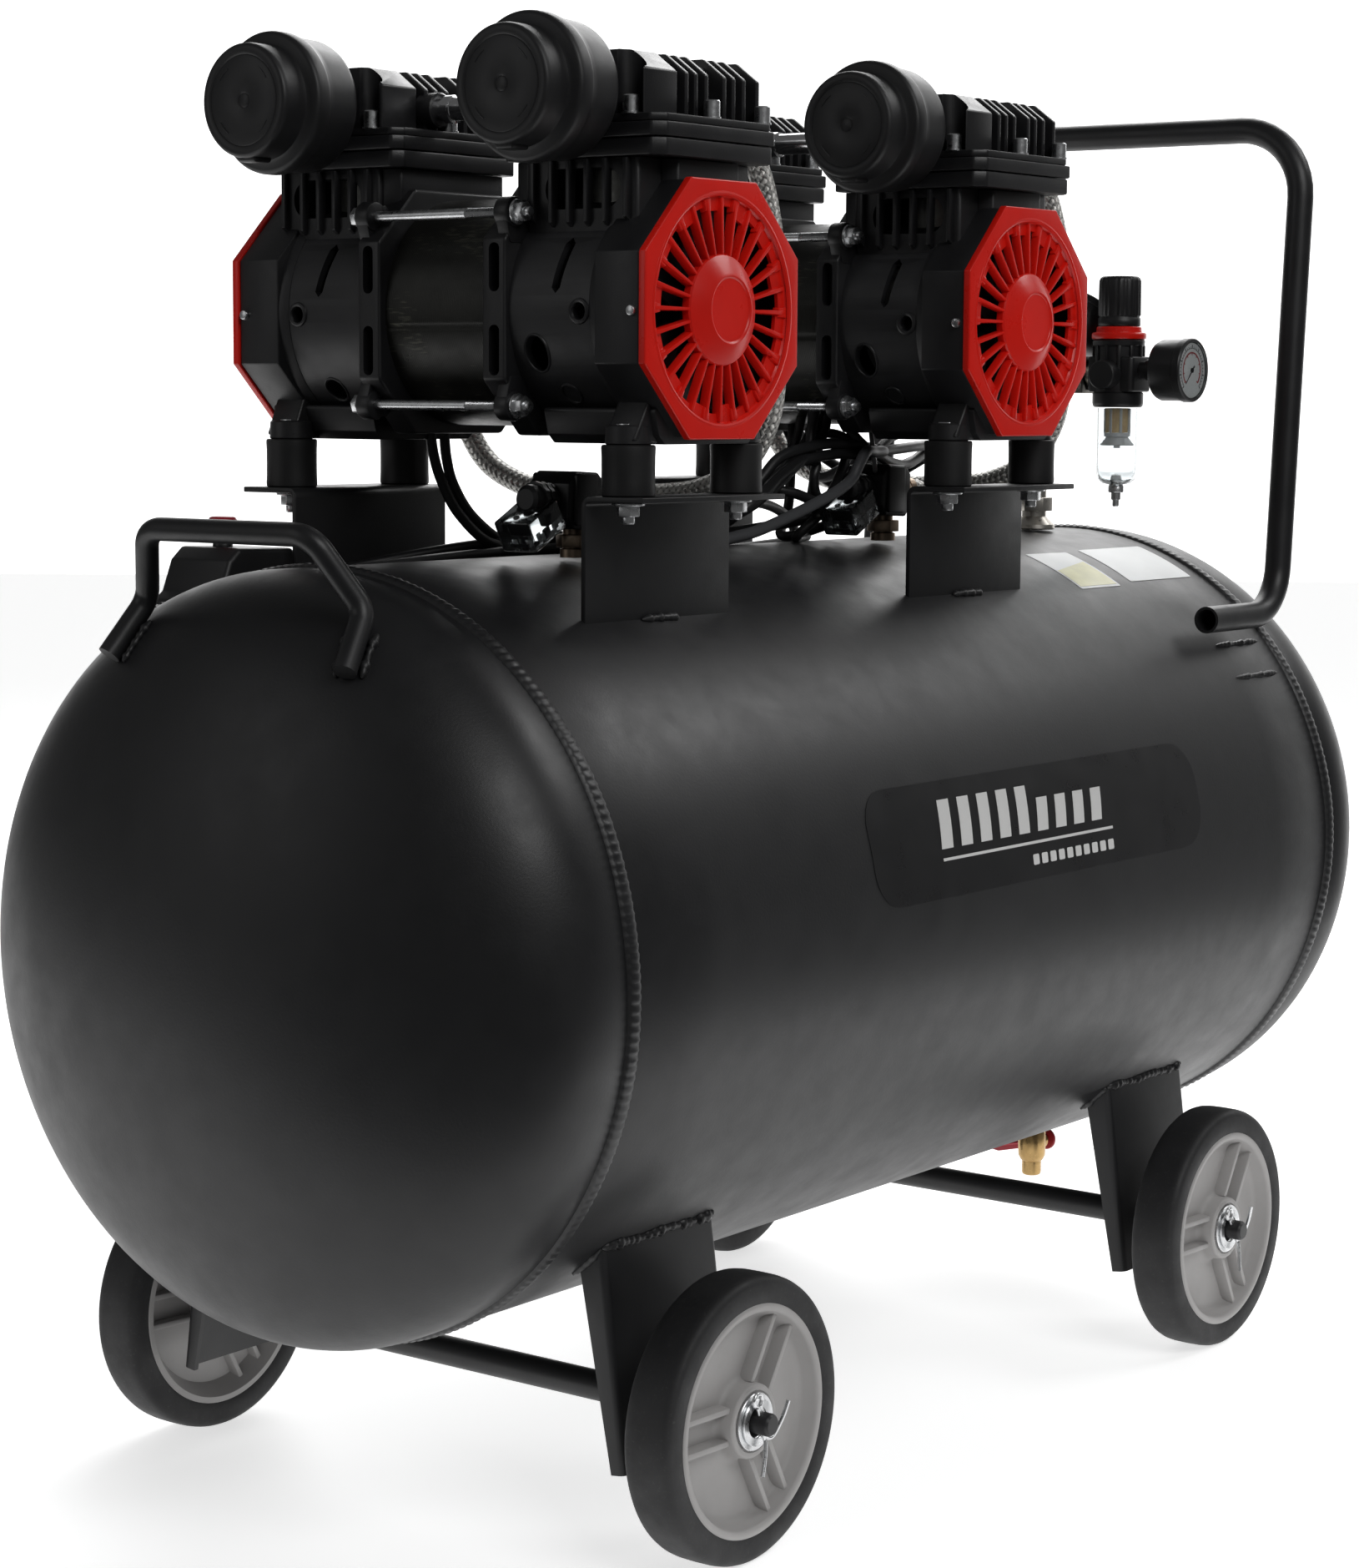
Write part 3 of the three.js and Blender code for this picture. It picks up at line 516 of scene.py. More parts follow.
def braid():
    """Woven wire: bundles that pass over and under each other, from lengthwise and round-the-hose coordinates."""
    m = material("stainless_braid", (0.66, 0.65, 0.62), 0.34, metal=1.0, var=0.15, rvar=0.1, cloud=120)
    nt = m.node_tree
    N, L = nt.nodes, nt.links
    b = [n for n in N if n.type == "BSDF_PRINCIPLED"][0]
    uv = N.new("ShaderNodeUVMap")
    sep = N.new("ShaderNodeSeparateXYZ")
    L.new(uv.outputs[0], sep.inputs[0])

    def math_(op, a, c=None):
        n = N.new("ShaderNodeMath")
        n.operation = op
        for i, x in enumerate((a, c)):
            if x is None:
                continue
            if isinstance(x, (int, float)):
                n.inputs[i].default_value = x
            else:
                L.new(x, n.inputs[i])
        return n.outputs[0]
    a = math_("ADD", sep.outputs[0], sep.outputs[1])
    c = math_("SUBTRACT", sep.outputs[0], sep.outputs[1])
    fa, fc = math_("FRACT", a), math_("FRACT", c)
    par = math_("PINGPONG", math_("ADD", math_("FLOOR", a), math_("FLOOR", c)), 1.0)
    ha = math_("SINE", math_("MULTIPLY", fa, math.pi))
    hc = math_("SINE", math_("MULTIPLY", fc, math.pi))
    wa = math_("MULTIPLY", math_("ABSOLUTE", math_("SINE", math_("MULTIPLY", fa, math.pi * 5))), 0.35)
    wc = math_("MULTIPLY", math_("ABSOLUTE", math_("SINE", math_("MULTIPLY", fc, math.pi * 5))), 0.35)
    one = math_("ADD", math_("MULTIPLY", ha, 0.6), math_("ADD", math_("MULTIPLY", hc, 0.5), wa))
    two = math_("ADD", math_("MULTIPLY", hc, 0.6), math_("ADD", math_("MULTIPLY", ha, 0.5), wc))
    h = math_("ADD", math_("MULTIPLY", one, par), math_("MULTIPLY", two, math_("SUBTRACT", 1.0, par)))
    bp = N.new("ShaderNodeBump")
    bp.inputs["Strength"].default_value = 1.0
    bp.inputs["Distance"].default_value = 0.0007
    L.new(h, bp.inputs["Height"])
    L.new(bp.outputs["Normal"], b.inputs["Normal"])
    # darker where the weave is low: painted shade in the hollows between the wires
    r = N.new("ShaderNodeMapRange")
    r.inputs["From Min"].default_value = 0.15
    r.inputs["From Max"].default_value = 0.9
    L.new(h, r.inputs["Value"])
    mx = N.new("ShaderNodeMix")
    mx.data_type = "RGBA"
    A = [i for i in mx.inputs if i.name == "A" and i.type == "RGBA"][0]
    B = [i for i in mx.inputs if i.name == "B" and i.type == "RGBA"][0]
    L.new(r.outputs["Result"], mx.inputs["Factor"])
    old = b.inputs["Base Color"].links[0].from_socket
    A.default_value = (0.03, 0.03, 0.028, 1)
    L.new(old, B)
    L.new([o for o in mx.outputs if o.type == "RGBA"][0], b.inputs["Base Color"])
    return m


BRAID = braid()


def clear(name, tint, alpha_rough=0.08):
    m = material(name, tint, alpha_rough, var=0.02, rvar=0.03, grain=0.004, grain_scale=500, trans=1.0, ior=1.49)
    return m


CLEARM = clear("clear_polycarbonate", (0.93, 0.96, 0.97))

# ------------------------------------------------------------------ dimensions shared with the CAD (mm)
TR, TZ, SEAM, SKIRT, DEPTH = 200.0, 307.0, 371.0, 20.0, 94.0
WR, WW, WOUT = 76.0, 29.0, 203.0
AZ = WR * math.cos(math.pi / 20)
AX = (-272.0, 238.0)
UX = (-225.0, 77.0)
UZ = 638.5
CY = 88.0
SIDES = (("right", -1), ("left", 1))
FR = ("front", "rear")


def tank_r(x):
    ax = abs(x)
    if ax <= SEAM + SKIRT:
        return TR
    q = (ax - SEAM - SKIRT) / DEPTH
    return TR * math.sqrt(max(0.0, 1 - q * q))


# ------------------------------------------------------------------ receiver
prof = []
for i in range(33):
    u = i / 32 * math.pi / 2
    prof.append((0 if i == 0 else TR * math.sin(u), -(SEAM + SKIRT + DEPTH * math.cos(u))))
prof += [(TR, -SEAM - 5.0), (TR - 0.9, -SEAM - 3.2), (TR - 0.6, -SEAM + 3), (TR + 0.0, -SEAM + 4.5)]
prof += [(TR, x) for x in (-300, -200, -100, 0)]
prof = prof + [(r, -t) for r, t in reversed(prof[:-1])]
emit("receiver_shell", lathe("x", prof, 160, (0, 0, TZ)), POWDER, rep="air_tank", slot="powder_coat", sharp=50)


def bead_ring(x0, R, w, h, pitch, seed, n=760):
    """A girth weld: overlapping crescents round the receiver."""
    rr = random.Random(seed)
    ph = [rr.uniform(-0.4, 0.4) for _ in range(64)]
    v, f = [], []
    K = 8
    for i in range(n):
        a = 2 * math.pi * i / n
        s = a * R / pitch
        wob = ph[int(s / 6) % 64]
        for k in range(K + 1):
            t = -1 + 2 * k / K
            cres = (s + 0.32 * t * t + wob * 0.25) % 1.0
            rip = math.exp(-((cres - 0.5) * 3.0) ** 2)
            hh = h * math.sqrt(max(0, 1 - t * t)) * (0.62 + 0.42 * rip) - (0.5 if abs(t) > 0.99 else 0)
            xx = x0 + t * w / 2 * (1 + 0.08 * wob) + 0.35 * math.sin(a * 9 + seed)
            v.append((xx, (R + hh) * math.cos(a), TZ + (R + hh) * math.sin(a)))
        v.append((x0, (R - 2.5) * math.cos(a), TZ + (R - 2.5) * math.sin(a)))
    M = K + 2
    for i in range(n):
        j = (i + 1) % n
        for k in range(M):
            f.append((i * M + k, i * M + (k + 1) % M, j * M + (k + 1) % M, j * M + k))
    return S(v, f)


emit("girth_weld_front", bead_ring(-SEAM, TR - 0.3, 11.0, 2.6, 5.0, 3), POWDER_SMALL, slot="powder_coat", sharp=60)
emit("girth_weld_rear", bead_ring(SEAM, TR - 0.3, 11.0, 2.6, 5.0, 5), POWDER_SMALL, slot="powder_coat", sharp=60)


def bead(pts, r=2.6, pitch=4.5, seed=1, n=5):
    """A hand-laid fillet weld along a line."""
    P = smooth(pts, n)
    dense = []
    for a, b in zip(P, P[1:]):
        a, b = Vector(a), Vector(b)
        m = max(1, int((b - a).length / 0.9))
        dense += [tuple(a.lerp(b, k / m)) for k in range(m)]
    dense.append(P[-1])
    rr = random.Random(seed)
    blobs = [rr.uniform(0.75, 1.25) for _ in range(400)]

    def rad(i, ln):
        s = ln / pitch
        end = min(1.0, 0.35 + min(i, len(dense) - 1 - i) * 0.25)
        return r * blobs[int(s) % 400] * (0.78 + 0.3 * math.exp(-(((s % 1.0) - 0.5) * 3) ** 2)) * end
    return tube(dense, rad, 9)


def on_tank(x, y, up=True, lift=0.0):
    r = tank_r(x) + lift
    h = math.sqrt(max(0.0, r * r - y * y))
    return (x, y, TZ + (h if up else -h))


# ------------------------------------------------------------------ legs, axles
SP = math.atan2(14, 108)


def leg(ax):
    h, w, t = 150.0, 47.5, 3.0
    rings = []
    v, f = [], []
    for k in range(13):
        z = h * k / 12
        d = 9 + 10 * z / h
        outer = rnd_poly([(-w, d), (-w, 0), (w, 0), (w, d)], 4.0, 5, closed=False)
        inner = rnd_poly([(w - t, d), (w - t, t), (-w + t, t), (-w + t, d)], 1.5, 5, closed=False)
        rings.append([(a, b, z) for a, b in outer + inner])
    n = len(rings[0])
    for rg in rings:
        v += rg
    for k in range(len(rings) - 1):
        for i in range(n):
            j = (i + 1) % n
            f.append((k * n + i, k * n + j, (k + 1) * n + j, (k + 1) * n + i))
    half = n // 2
    for base in (0, (len(rings) - 1) * n):
        for i in range(half - 1):
            f.append((base + i, base + i + 1, base + n - 2 - i, base + n - 1 - i))
    s = S(v, f)
    return s.turn("X", -math.degrees(SP)).move(ax - 3, -158, 50)


for i, ax in enumerate(AX):
    for side, sg in SIDES:
        s = leg(ax)
        # where web and flanges meet the receiver
        top = []
        for k in range(15):
            x = ax - 3 - 47 + 94 * k / 14
            y = -(142.5 + 0.6 * math.sin(k))
            top.append((x, y + 0.5, TZ - math.sqrt(TR * TR - y * y) - 0.6))
        w1 = bead(top, 3.2, 5.0, 11 + i)
        flg = []
        for xs in (-50.5, 44.5):
            line = [(ax + xs, -142 + q, TZ - math.sqrt(TR * TR - (142 - q) ** 2) - 0.3) for q in (0, 6, 12, 18)]
            flg.append(bead(line, 2.6, 4.6, 21 + i))
        s = S().add(s)
        wl = S().add(w1, *flg)
        # collar weld of the axle tube
        wl.add(lathe("y", [(7, -151.6), (10.6, -151.2), (11.3, -149.6), (10.2, -147.4), (7, -147.0)], 26, (ax, 0, AZ), closed=True, rfun=lambda a, t: 1 + 0.05 * math.sin(a * 9)))
        if sg > 0:
            s, wl = s.flip(), wl.flip()
        emit(f"leg_plate_{FR[i]}_{side}", s, POWDER_SMALL, rep=f"leg_{FR[i]}_{side}", slot="powder_coat", sharp=30)
        emit(f"leg_weld_{FR[i]}_{side}", wl, POWDER_SMALL, slot="powder_coat", sharp=60)
    a = lathe("y", [(0, -214), (4.6, -214), (5.6, -213), (6, -212), (6, -150), (8, -149.6), (8, 149.6), (6, 150), (6, 212), (5.6, 213), (4.6, 214), (0, 214)], 32, (ax, 0, AZ))
    emit(f"axle_bar_{FR[i]}", a, POWDER_SMALL, rep=f"axle_{FR[i]}", slot="powder_coat")


# ------------------------------------------------------------------ wheels
def wheel_parts():
    """Wheel about its own centre, outer face towards -Y at y=-14.5."""
    o = -WW / 2
    tyre = [(60.5, o + 0.9), (62.5, o + 0.2), (66.0, o + 0.0), (70.5, o + 0.2), (72.6, o + 0.9), (73.9, o + 2.2), (74.6, o + 4.0), (75.0, o + 7.0), (75.15, 0)]
    tyre = tyre + [(r, -t) for r, t in reversed(tyre[:-1])] + [(58.5, -o - 1.5), (58.5, o + 1.5)]
    T = lathe("y", tyre, 120, closed=True)
    rim = [(60.7, o + 0.9), (60.2, o + 0.35), (59.0, o + 0.15), (57.2, o + 0.3), (56.4, o + 0.9), (55.9, o + 2.2), (53.8, o + 8.2), (52.2, o + 10.2), (49.5, o + 10.9),
           (25, o + 11.2), (22.2, o + 10.8), (20.8, o + 9.6), (20.0, o + 7.6), (19.4, o + 2.0), (18.8, o + 1.0), (17.8, o + 0.6), (16.2, o + 0.7), (15.6, o + 1.6), (8.3, o + 1.8)]
    back = [(8.3, -o - 1.2), (18, -o - 1.2), (19, -o - 2.5), (20, -o - 9.5), (50, -o - 10.5), (55.5, -o - 2), (57, -o - 0.4), (60, -o - 0.4), (60.7, -o - 1.2)]
    H = lathe("y", rim + back, 96, closed=True)
    for deg in (58, 178, 298):
        for off in (-8.5, 8.5):
            for face in (-1, 1):
                # draughted rib: thicker at its root
                y0, y1 = (o + 12.0, o + 3.6) if face < 0 else (-o - 11.0, -o - 5.0)
                rib = S([(17.0, y0, off - 2.3), (54.8, y0, off - 2.3), (54.8, y0, off + 2.3), (17.0, y0, off + 2.3),
                         (17.4, y1, off - 1.5), (54.6, y1, off - 1.5), (54.6, y1, off + 1.5), (17.4, y1, off + 1.5)],
                        [(0, 1, 2, 3), (7, 6, 5, 4), (0, 4, 5, 1), (1, 5, 6, 2), (2, 6, 7, 3), (3, 7, 4, 0)])
                H.add(bevelled(rib, 0.5, 2).turn("Y", -deg))
    W = ring("y", 8.1, 15.0, o - 0.4, o + 1.5, seg=56, b=0.35)
    W.add(ring("y", 8.1, 12.4, o - 1.9, o - 0.5, seg=48, b=0.35))
    # cotter pin through the axle end
    yc = o - 4.4
    path = [(1.1, yc, 10.4), (0.9, yc, 5), (0.9, yc, -7.4), (1.8, yc, -9.8), (6.0, yc - 0.6, -10.4), (13.0, yc - 3.0, -3.5), (18.5, yc - 4.4, 3.5)]
    path2 = [(-1.1, yc, 10.4), (-0.9, yc, 5), (-0.9, yc, -7.6), (-1.6, yc - 0.8, -10.4), (-6.5, yc - 2.2, -17.0), (-12.5, yc - 3.6, -23.5)]
    C = S()
    C.add(tube(smooth(path, 7), 1.15, 12), tube(smooth(path2, 7), 1.15, 12))
    C.add(tube(smooth([(1.1, yc, 10.2), (3.0, yc, 12.2), (3.0, yc, 15.2), (0, yc, 17.0), (-3.0, yc, 15.2), (-3.0, yc, 12.2), (-1.1, yc, 10.2)], 7), 1.15, 12))
    return T, H, W, C


T0, H0, W0, C0 = wheel_parts()
for i, ax in enumerate(AX):
    for side, sg in SIDES:
        name = f"wheel_{FR[i]}_{side}"
        pos = (ax, sg * (WOUT - WW / 2), AZ)
        for nm, s, m, sl in (("tyre", T0, RUBBER, "tyre_rubber"), ("hub", H0, HUB, "hub_plastic"), ("washer", W0, ZINC, "zinc_steel"), ("cotter", C0, ZINC, "zinc_steel")):
            q = s if sg < 0 else s.flip(1)
            if nm == "cotter":
                q = q.turn("Y", {(0, -1): -18, (0, 1): 40, (1, -1): -32, (1, 1): 15}[(i, sg)])
            q = q.move(*pos)
            body = name if nm in ("tyre", "hub") else "root"
            emit(f"{nm}_{FR[i]}_{side}", q, m, body=body, rep=name if nm == "tyre" else (), slot=sl, sharp=40 if nm != "tyre" else 60)


# ------------------------------------------------------------------ handles
def route(pts, radii, n=10):
    return [tuple(p) for p in rnd_poly([Vector(p) for p in pts], [0, *radii, 0], n, closed=False)]


def straight_fill(P, step=12.0):
    out = []
    for a, b in zip(P, P[1:]):
        a, b = Vector(a), Vector(b)
        m = max(1, int((b - a).length / step))
        out += [tuple(a.lerp(b, k / m)) for k in range(m)]
    out.append(P[-1])
    return out


HY = 159.0
R_ = route([(272, -HY, 455.6), (366.5, -HY, 455.6), (396, -HY + 3, 771), (396, HY - 3, 771), (366.5, HY, 455.6), (272, HY, 455.6)], [34, 46, 46, 34])
P_ = straight_fill(R_)
h = tube(P_, 8.5, 28, caps=False)
inner = tube(P_, 6.8, 28, caps=False)
n0 = len(h.v)
h.add(inner)
m_ = len(P_)
for base in (0, (m_ - 1) * 28):
    for k in range(28):
        kk = (k + 1) % 28
        h.f.append((base + k, base + kk, n0 + base + kk, n0 + base + k))
emit("push_handle_tube", h, POWDER_SMALL, rep="push_handle", slot="powder_coat", sharp=50)
for side, sg in SIDES:
    w = S()
    for dy in (-7.5, 7.5):
        w.add(bead([(300 + 8 * k, sg * HY + dy, TZ + math.sqrt(TR ** 2 - (HY + sg * dy * 1.0) ** 2) - 0.2) for k in range(8)], 2.0, 4.5, 31))
    emit(f"push_handle_weld_{side}", w, POWDER_SMALL, slot="powder_coat", sharp=60)


def on_head(y, z, lift):
    q = (y * y + (z - TZ) ** 2) / (TR * TR)
    p = Vector((-(SEAM + SKIRT) - DEPTH * math.sqrt(max(0, 1 - q)), y, z))
    n = Vector(((p.x + SEAM + SKIRT) / DEPTH ** 2, y / TR ** 2, (z - TZ) / TR ** 2)).normalized()
    return tuple(p + n * lift)


lr = route([on_head(-79, 459, 6.3), on_head(-72, 484, 8.0), (-441, -56, 527), (-441, 56, 527), on_head(72, 484, 8.0), on_head(79, 459, 6.3)], [12, 16, 16, 12])
L_ = straight_fill(lr, 8)
emit("lifting_handle_rod", tube(L_, lambda i, ln: 6.0, 26), POWDER_SMALL, rep="lifting_handle", slot="powder_coat", sharp=50)
w = S()
for sg in (-1, 1):
    for off in (-6.5, 6.5):
        w.add(bead([on_head(sg * (79 - k * 1.2) + off, 459 + 5 * k, 0.8) for k in range(5)], 2.3, 4.5, 41 + sg))
emit("lifting_handle_weld", w, POWDER_SMALL, slot="powder_coat", sharp=60)


# ------------------------------------------------------------------ brackets and rubber mounts
def hexnut(axis, af, t0, t1, c, washer=0.0, turn=0.0):
    r = af / 2 / math.cos(math.pi / 6)
    out = [(r * math.cos(math.radians(60 * k + turn)), r * math.sin(math.radians(60 * k + turn))) for k in range(6)]
    s = prism(axis, out, t0, t1, 0.45, 2)
    k = {"x": 0, "y": 1, "z": 2}[axis]
    s = s.move(*c)
    if washer:
        s.add(cyl(axis, washer, min(t0, t1) - 0.0, min(t0, t1) + 1.2, c, 30, 0.4))
    return s


for i, ux in enumerate(UX):
    cx = ux - 0.5
    for side, sg in SIDES:
        # bent sheet: web down to the receiver, flange outward
        sec = rnd_poly([(-99.5, 470.0), (-102.5, 470.0), (-102.5, 540.5), (-139, 540.5), (-139, 543.5), (-99.5, 543.5)], [0, 0, 2.5, 0.6, 0.6, 5.5], 5)
        web = prism("x", sec, cx - 62, cx + 62, 0.5, 2)
        s = web
        bottom = TZ + math.sqrt(TR ** 2 - 101 ** 2)
        w = S()
        lo = bottom - 1.0
        w.add(bead([(cx - 16 + 8 * k, -103.5, lo + 0.3 * math.sin(k)) for k in range(5)], 2.4, 4.4, 51 + i))
        w.add(bead([(cx - 20 + 8 * k, -98.5, lo + 1.0) for k in range(6)], 2.2, 4.4, 53 + i))
        nuts, rub, caps_ = S(), {}, S()
        for e, d in (("front", -1), ("rear", 1)):
            mx, my = ux + d * 46.5, -117.5
            nuts.add(hexnut("z", 10.8, 533.4, 539.2, (mx, my, 0), 0, 12 * d), cyl("z", 8.6, 538.8, 540.5, (mx, my, 0), 32, 0.5), cyl("z", 3.4, 529.4, 534, (mx, my, 0), 20, 0.8))
            r = lathe("z", [(0, 543.6), (13.2, 543.6), (13.9, 544.2), (14.0, 546), (13.8, 550), (13.75, 557), (13.8, 564), (14.0, 568), (13.9, 569.2), (13.2, 569.8), (0, 569.8)], 48, (mx, my, 0))
            rub[e] = r
            nuts.add(cyl("z", 3.9, 570, 578.6, (mx - 1.0, my - 9.2, 0), 20, 0.9)) if False else None
        if sg > 0:
            s, w, nuts = s.flip(), w.flip(), nuts.flip()
            rub = {k: q.flip() for k, q in rub.items()}
        n = f"{i + 1}_{side}"
        emit(f"bracket_sheet_{n}", s, POWDER_SMALL, rep=f"pump_bracket_{n}", slot="powder_coat")
        emit(f"bracket_weld_{n}", w, POWDER_SMALL, slot="powder_coat", sharp=60)
        emit(f"mount_nuts_{n}", nuts, ZINC, slot="zinc_steel")
        for e, q in rub.items():
            emit(f"rubber_buffer_{n}_{e}", q, MOUNTM, rep=f"rubber_mount_{n}_{e}", slot="mount_rubber")


# ------------------------------------------------------------------ pump units (unit axes: y out to the fan, z up)
def octo(a, f):
    return [(-f, a), (f, a), (a, f), (a, -f), (f, -a), (-f, -a), (-a, -f), (-a, f)]


def crankcase(near):
    """The +Y end of a unit; near says which of the two castings it is."""
    # flange over the stator, with air slots
    fl = prism("y", rnd_poly(octo(65, 36), 4, 4), 35.5, 51.0, 1.6, 3)
    slots = []
    for sx in (-1, 1):
        for z0, z1 in ((9, 34), (-34, -8)):
            out = rnd_poly([(40.2, z0), (47.2, z0), (47.2, z1), (40.2, z1)], 3.2, 5)
            slots.append(prism("x", out, sx * 57.0 if sx < 0 else 57.0, 75 * sx) if sx > 0 else prism("x", out, -75, -57.0))
    slots.append(cyl("y", 57.5, 30, 60, seg=72))
    fl = boolean(fl, slots)
    parts = [fl]
    # drum
    drum = lathe("y", [(57.8, 49), (62, 49), (62, 111), (57.8, 111)], 96, closed=True)
    cuts = []
    for sx in (-1, 1):
        # curved slot, round hole, oval hole
        arc = []
        for k in range(9):
            u = k / 8
            z = 10.5 + 22.5 * u
            y = (83.0 + 3.0 * (u - 0.5)) if near else (81.0 - 3.5 * (u - 0.5))
            arc.append((y, z))
        outl = [(y - 2.7 - 0.4 * j / 8, z) for j, (y, z) in enumerate(arc)] + [(arc[-1][0], arc[-1][1] + 3.0)] + [(y + 2.7 + 0.4 * (8 - j) / 8, z) for j, (y, z) in enumerate(reversed(arc))] + [(arc[0][0], arc[0][1] - 2.8)]
        t0, t1 = (-80, -30) if sx < 0 else (30, 80)
        cuts.append(prism("x", outl, t0, t1))
        cuts.append(cyl("x", 4.2, t0, t1, (0, 97.5, -1.5), 28))
        oy, oz, oa, ob = (66.6, -22.5, 7.0, 8.8) if near else (84.0, -41.5, 6.0, 5.2)
        ov = [(oy + oa * math.cos(a), oz + ob * math.sin(a)) for a in [2 * math.pi * k / 28 for k in range(28)]]
        cuts.append(prism("x", ov, t0, t1))
    drum = boolean(drum, cuts)
    parts.append(drum)
    for sx in (-1, 1):
        # raised rims round the openings and the blind boss
        def on_drum(yc, zc, r, tr, nseg=40, ry=None):
            pts = []
            for k in range(nseg):
                a = 2 * math.pi * k / nseg
                y, z = yc + r * math.cos(a), zc + (ry or r) * math.sin(a)
                pts.append((sx * math.sqrt(62.0 ** 2 - z * z), y, z))
            return tube(pts, tr, 8, closed=True)
        parts.append(on_drum(97.5, -1.5, 5.4, 1.3))
        if near:
            parts.append(on_drum(79.0, -43.0, 5.6, 0.9, ry=4.6))
        parts.append(on_drum(oy, oz, oa + 0.7, 0.7, ry=ob + 0.7))
    # octagonal fan housing: open box with a wall
    oc = prism("y", rnd_poly(octo(65, 28), 2.0, 3), 109.5, 138.0, 1.2, 2)
    oc = boolean(oc, [cyl("y", 58.5, 113, 145, seg=72)])
    parts.append(oc)
    parts.append(lathe("y", [(55, 104), (62.3, 104), (63.6, 107), (64.2, 110), (55, 110)], 72, closed=True))
    # base block, feet
    parts.append(prism("y", rnd_poly([(-36, -68.5), (36, -68.5), (41, -64), (45, -50), (-45, -50), (-41, -64)], 2, 3), 60, 133, 1.2, 2))
    for sx in (-1, 1):
        fx = sx * 46.5
        parts.append(lathe("z", [(0, -68.6), (11.4, -68.6), (12.0, -68.0), (11.7, -59.5), (10.9, -58.6), (0, -58.4)], 36, (fx, 117.5, 0)))
        parts.append(bevelled(S([(fx - sx * 10, 107, -68.4), (fx + sx * 9, 108, -66.5), (fx + sx * 9, 128, -66.5), (fx - sx * 10, 129, -68.4),
                                 (fx - sx * 16, 109, -38), (fx - sx * 4, 110, -41), (fx - sx * 4, 130, -41), (fx - sx * 16, 131, -38)],
                                [(0, 1, 2, 3), (7, 6, 5, 4), (0, 4, 5, 1), (1, 5, 6, 2), (2, 6, 7, 3), (3, 7, 4, 0)]), 1.5, 3))
    # tie rod ears
    for sx in (-1, 1):
        for sz in (-1, 1):
            e = cyl("y", 8.0, 43.5, 52.8, (sx * 58, 0, sz * 49.5), 32, 1.2)
            web = prism("y", rnd_poly([(sx * 66, sz * 49.5), (sx * 61, sz * 34), (sx * 52, sz * 34), (sx * 40, sz * 48), (sx * 50, sz * 56)], 1.5, 3), 44.5, 51.8, 0.8, 2)
            parts += [e, web]
    # cylinder block with ribs and a window
    blk = prism("z", rnd_poly([(-48, 51), (48, 51), (48, 124), (-48, 124)], 2.5, 3), 34.0, 75.8, 0.8, 2)
    oval = rnd_poly([(64.0, 50.5), (113.0, 50.5), (113.0, 71.0), (64.0, 71.0)], 10.0, 8)
    blk = boolean(blk, [prism("x", oval, -60, 60), cyl("z", 31, 30, 80.5, (0, CY, 0), 64)])
    parts.append(blk)
    for sx in (-1, 1):
        for yy in (57.5, 69.5, 81.0, 92.5, 104.5, 118.0):
            t = 1.25
            z0 = 40.0 if 60 < yy < 110 else 42.0
            parts.append(prism("y", rnd_poly([(sx * 46.0, z0), (sx * 51.6, z0 + 4), (sx * 51.6, 75.4), (sx * 46.0, 75.4)], 0.8, 2), yy - t, yy + t, 0.5, 2))
    parts.append(prism("z", rnd_poly([(-30, 122), (30, 122), (26, 133), (-26, 133)], 2, 3), 42, 75.6, 0.8, 2))
    parts.append(prism("z", rnd_poly([(-42, 40), (42, 40), (46, 52), (-46, 52)], 2, 3), 56, 75.6, 0.8, 2))
    return S().add(*parts)


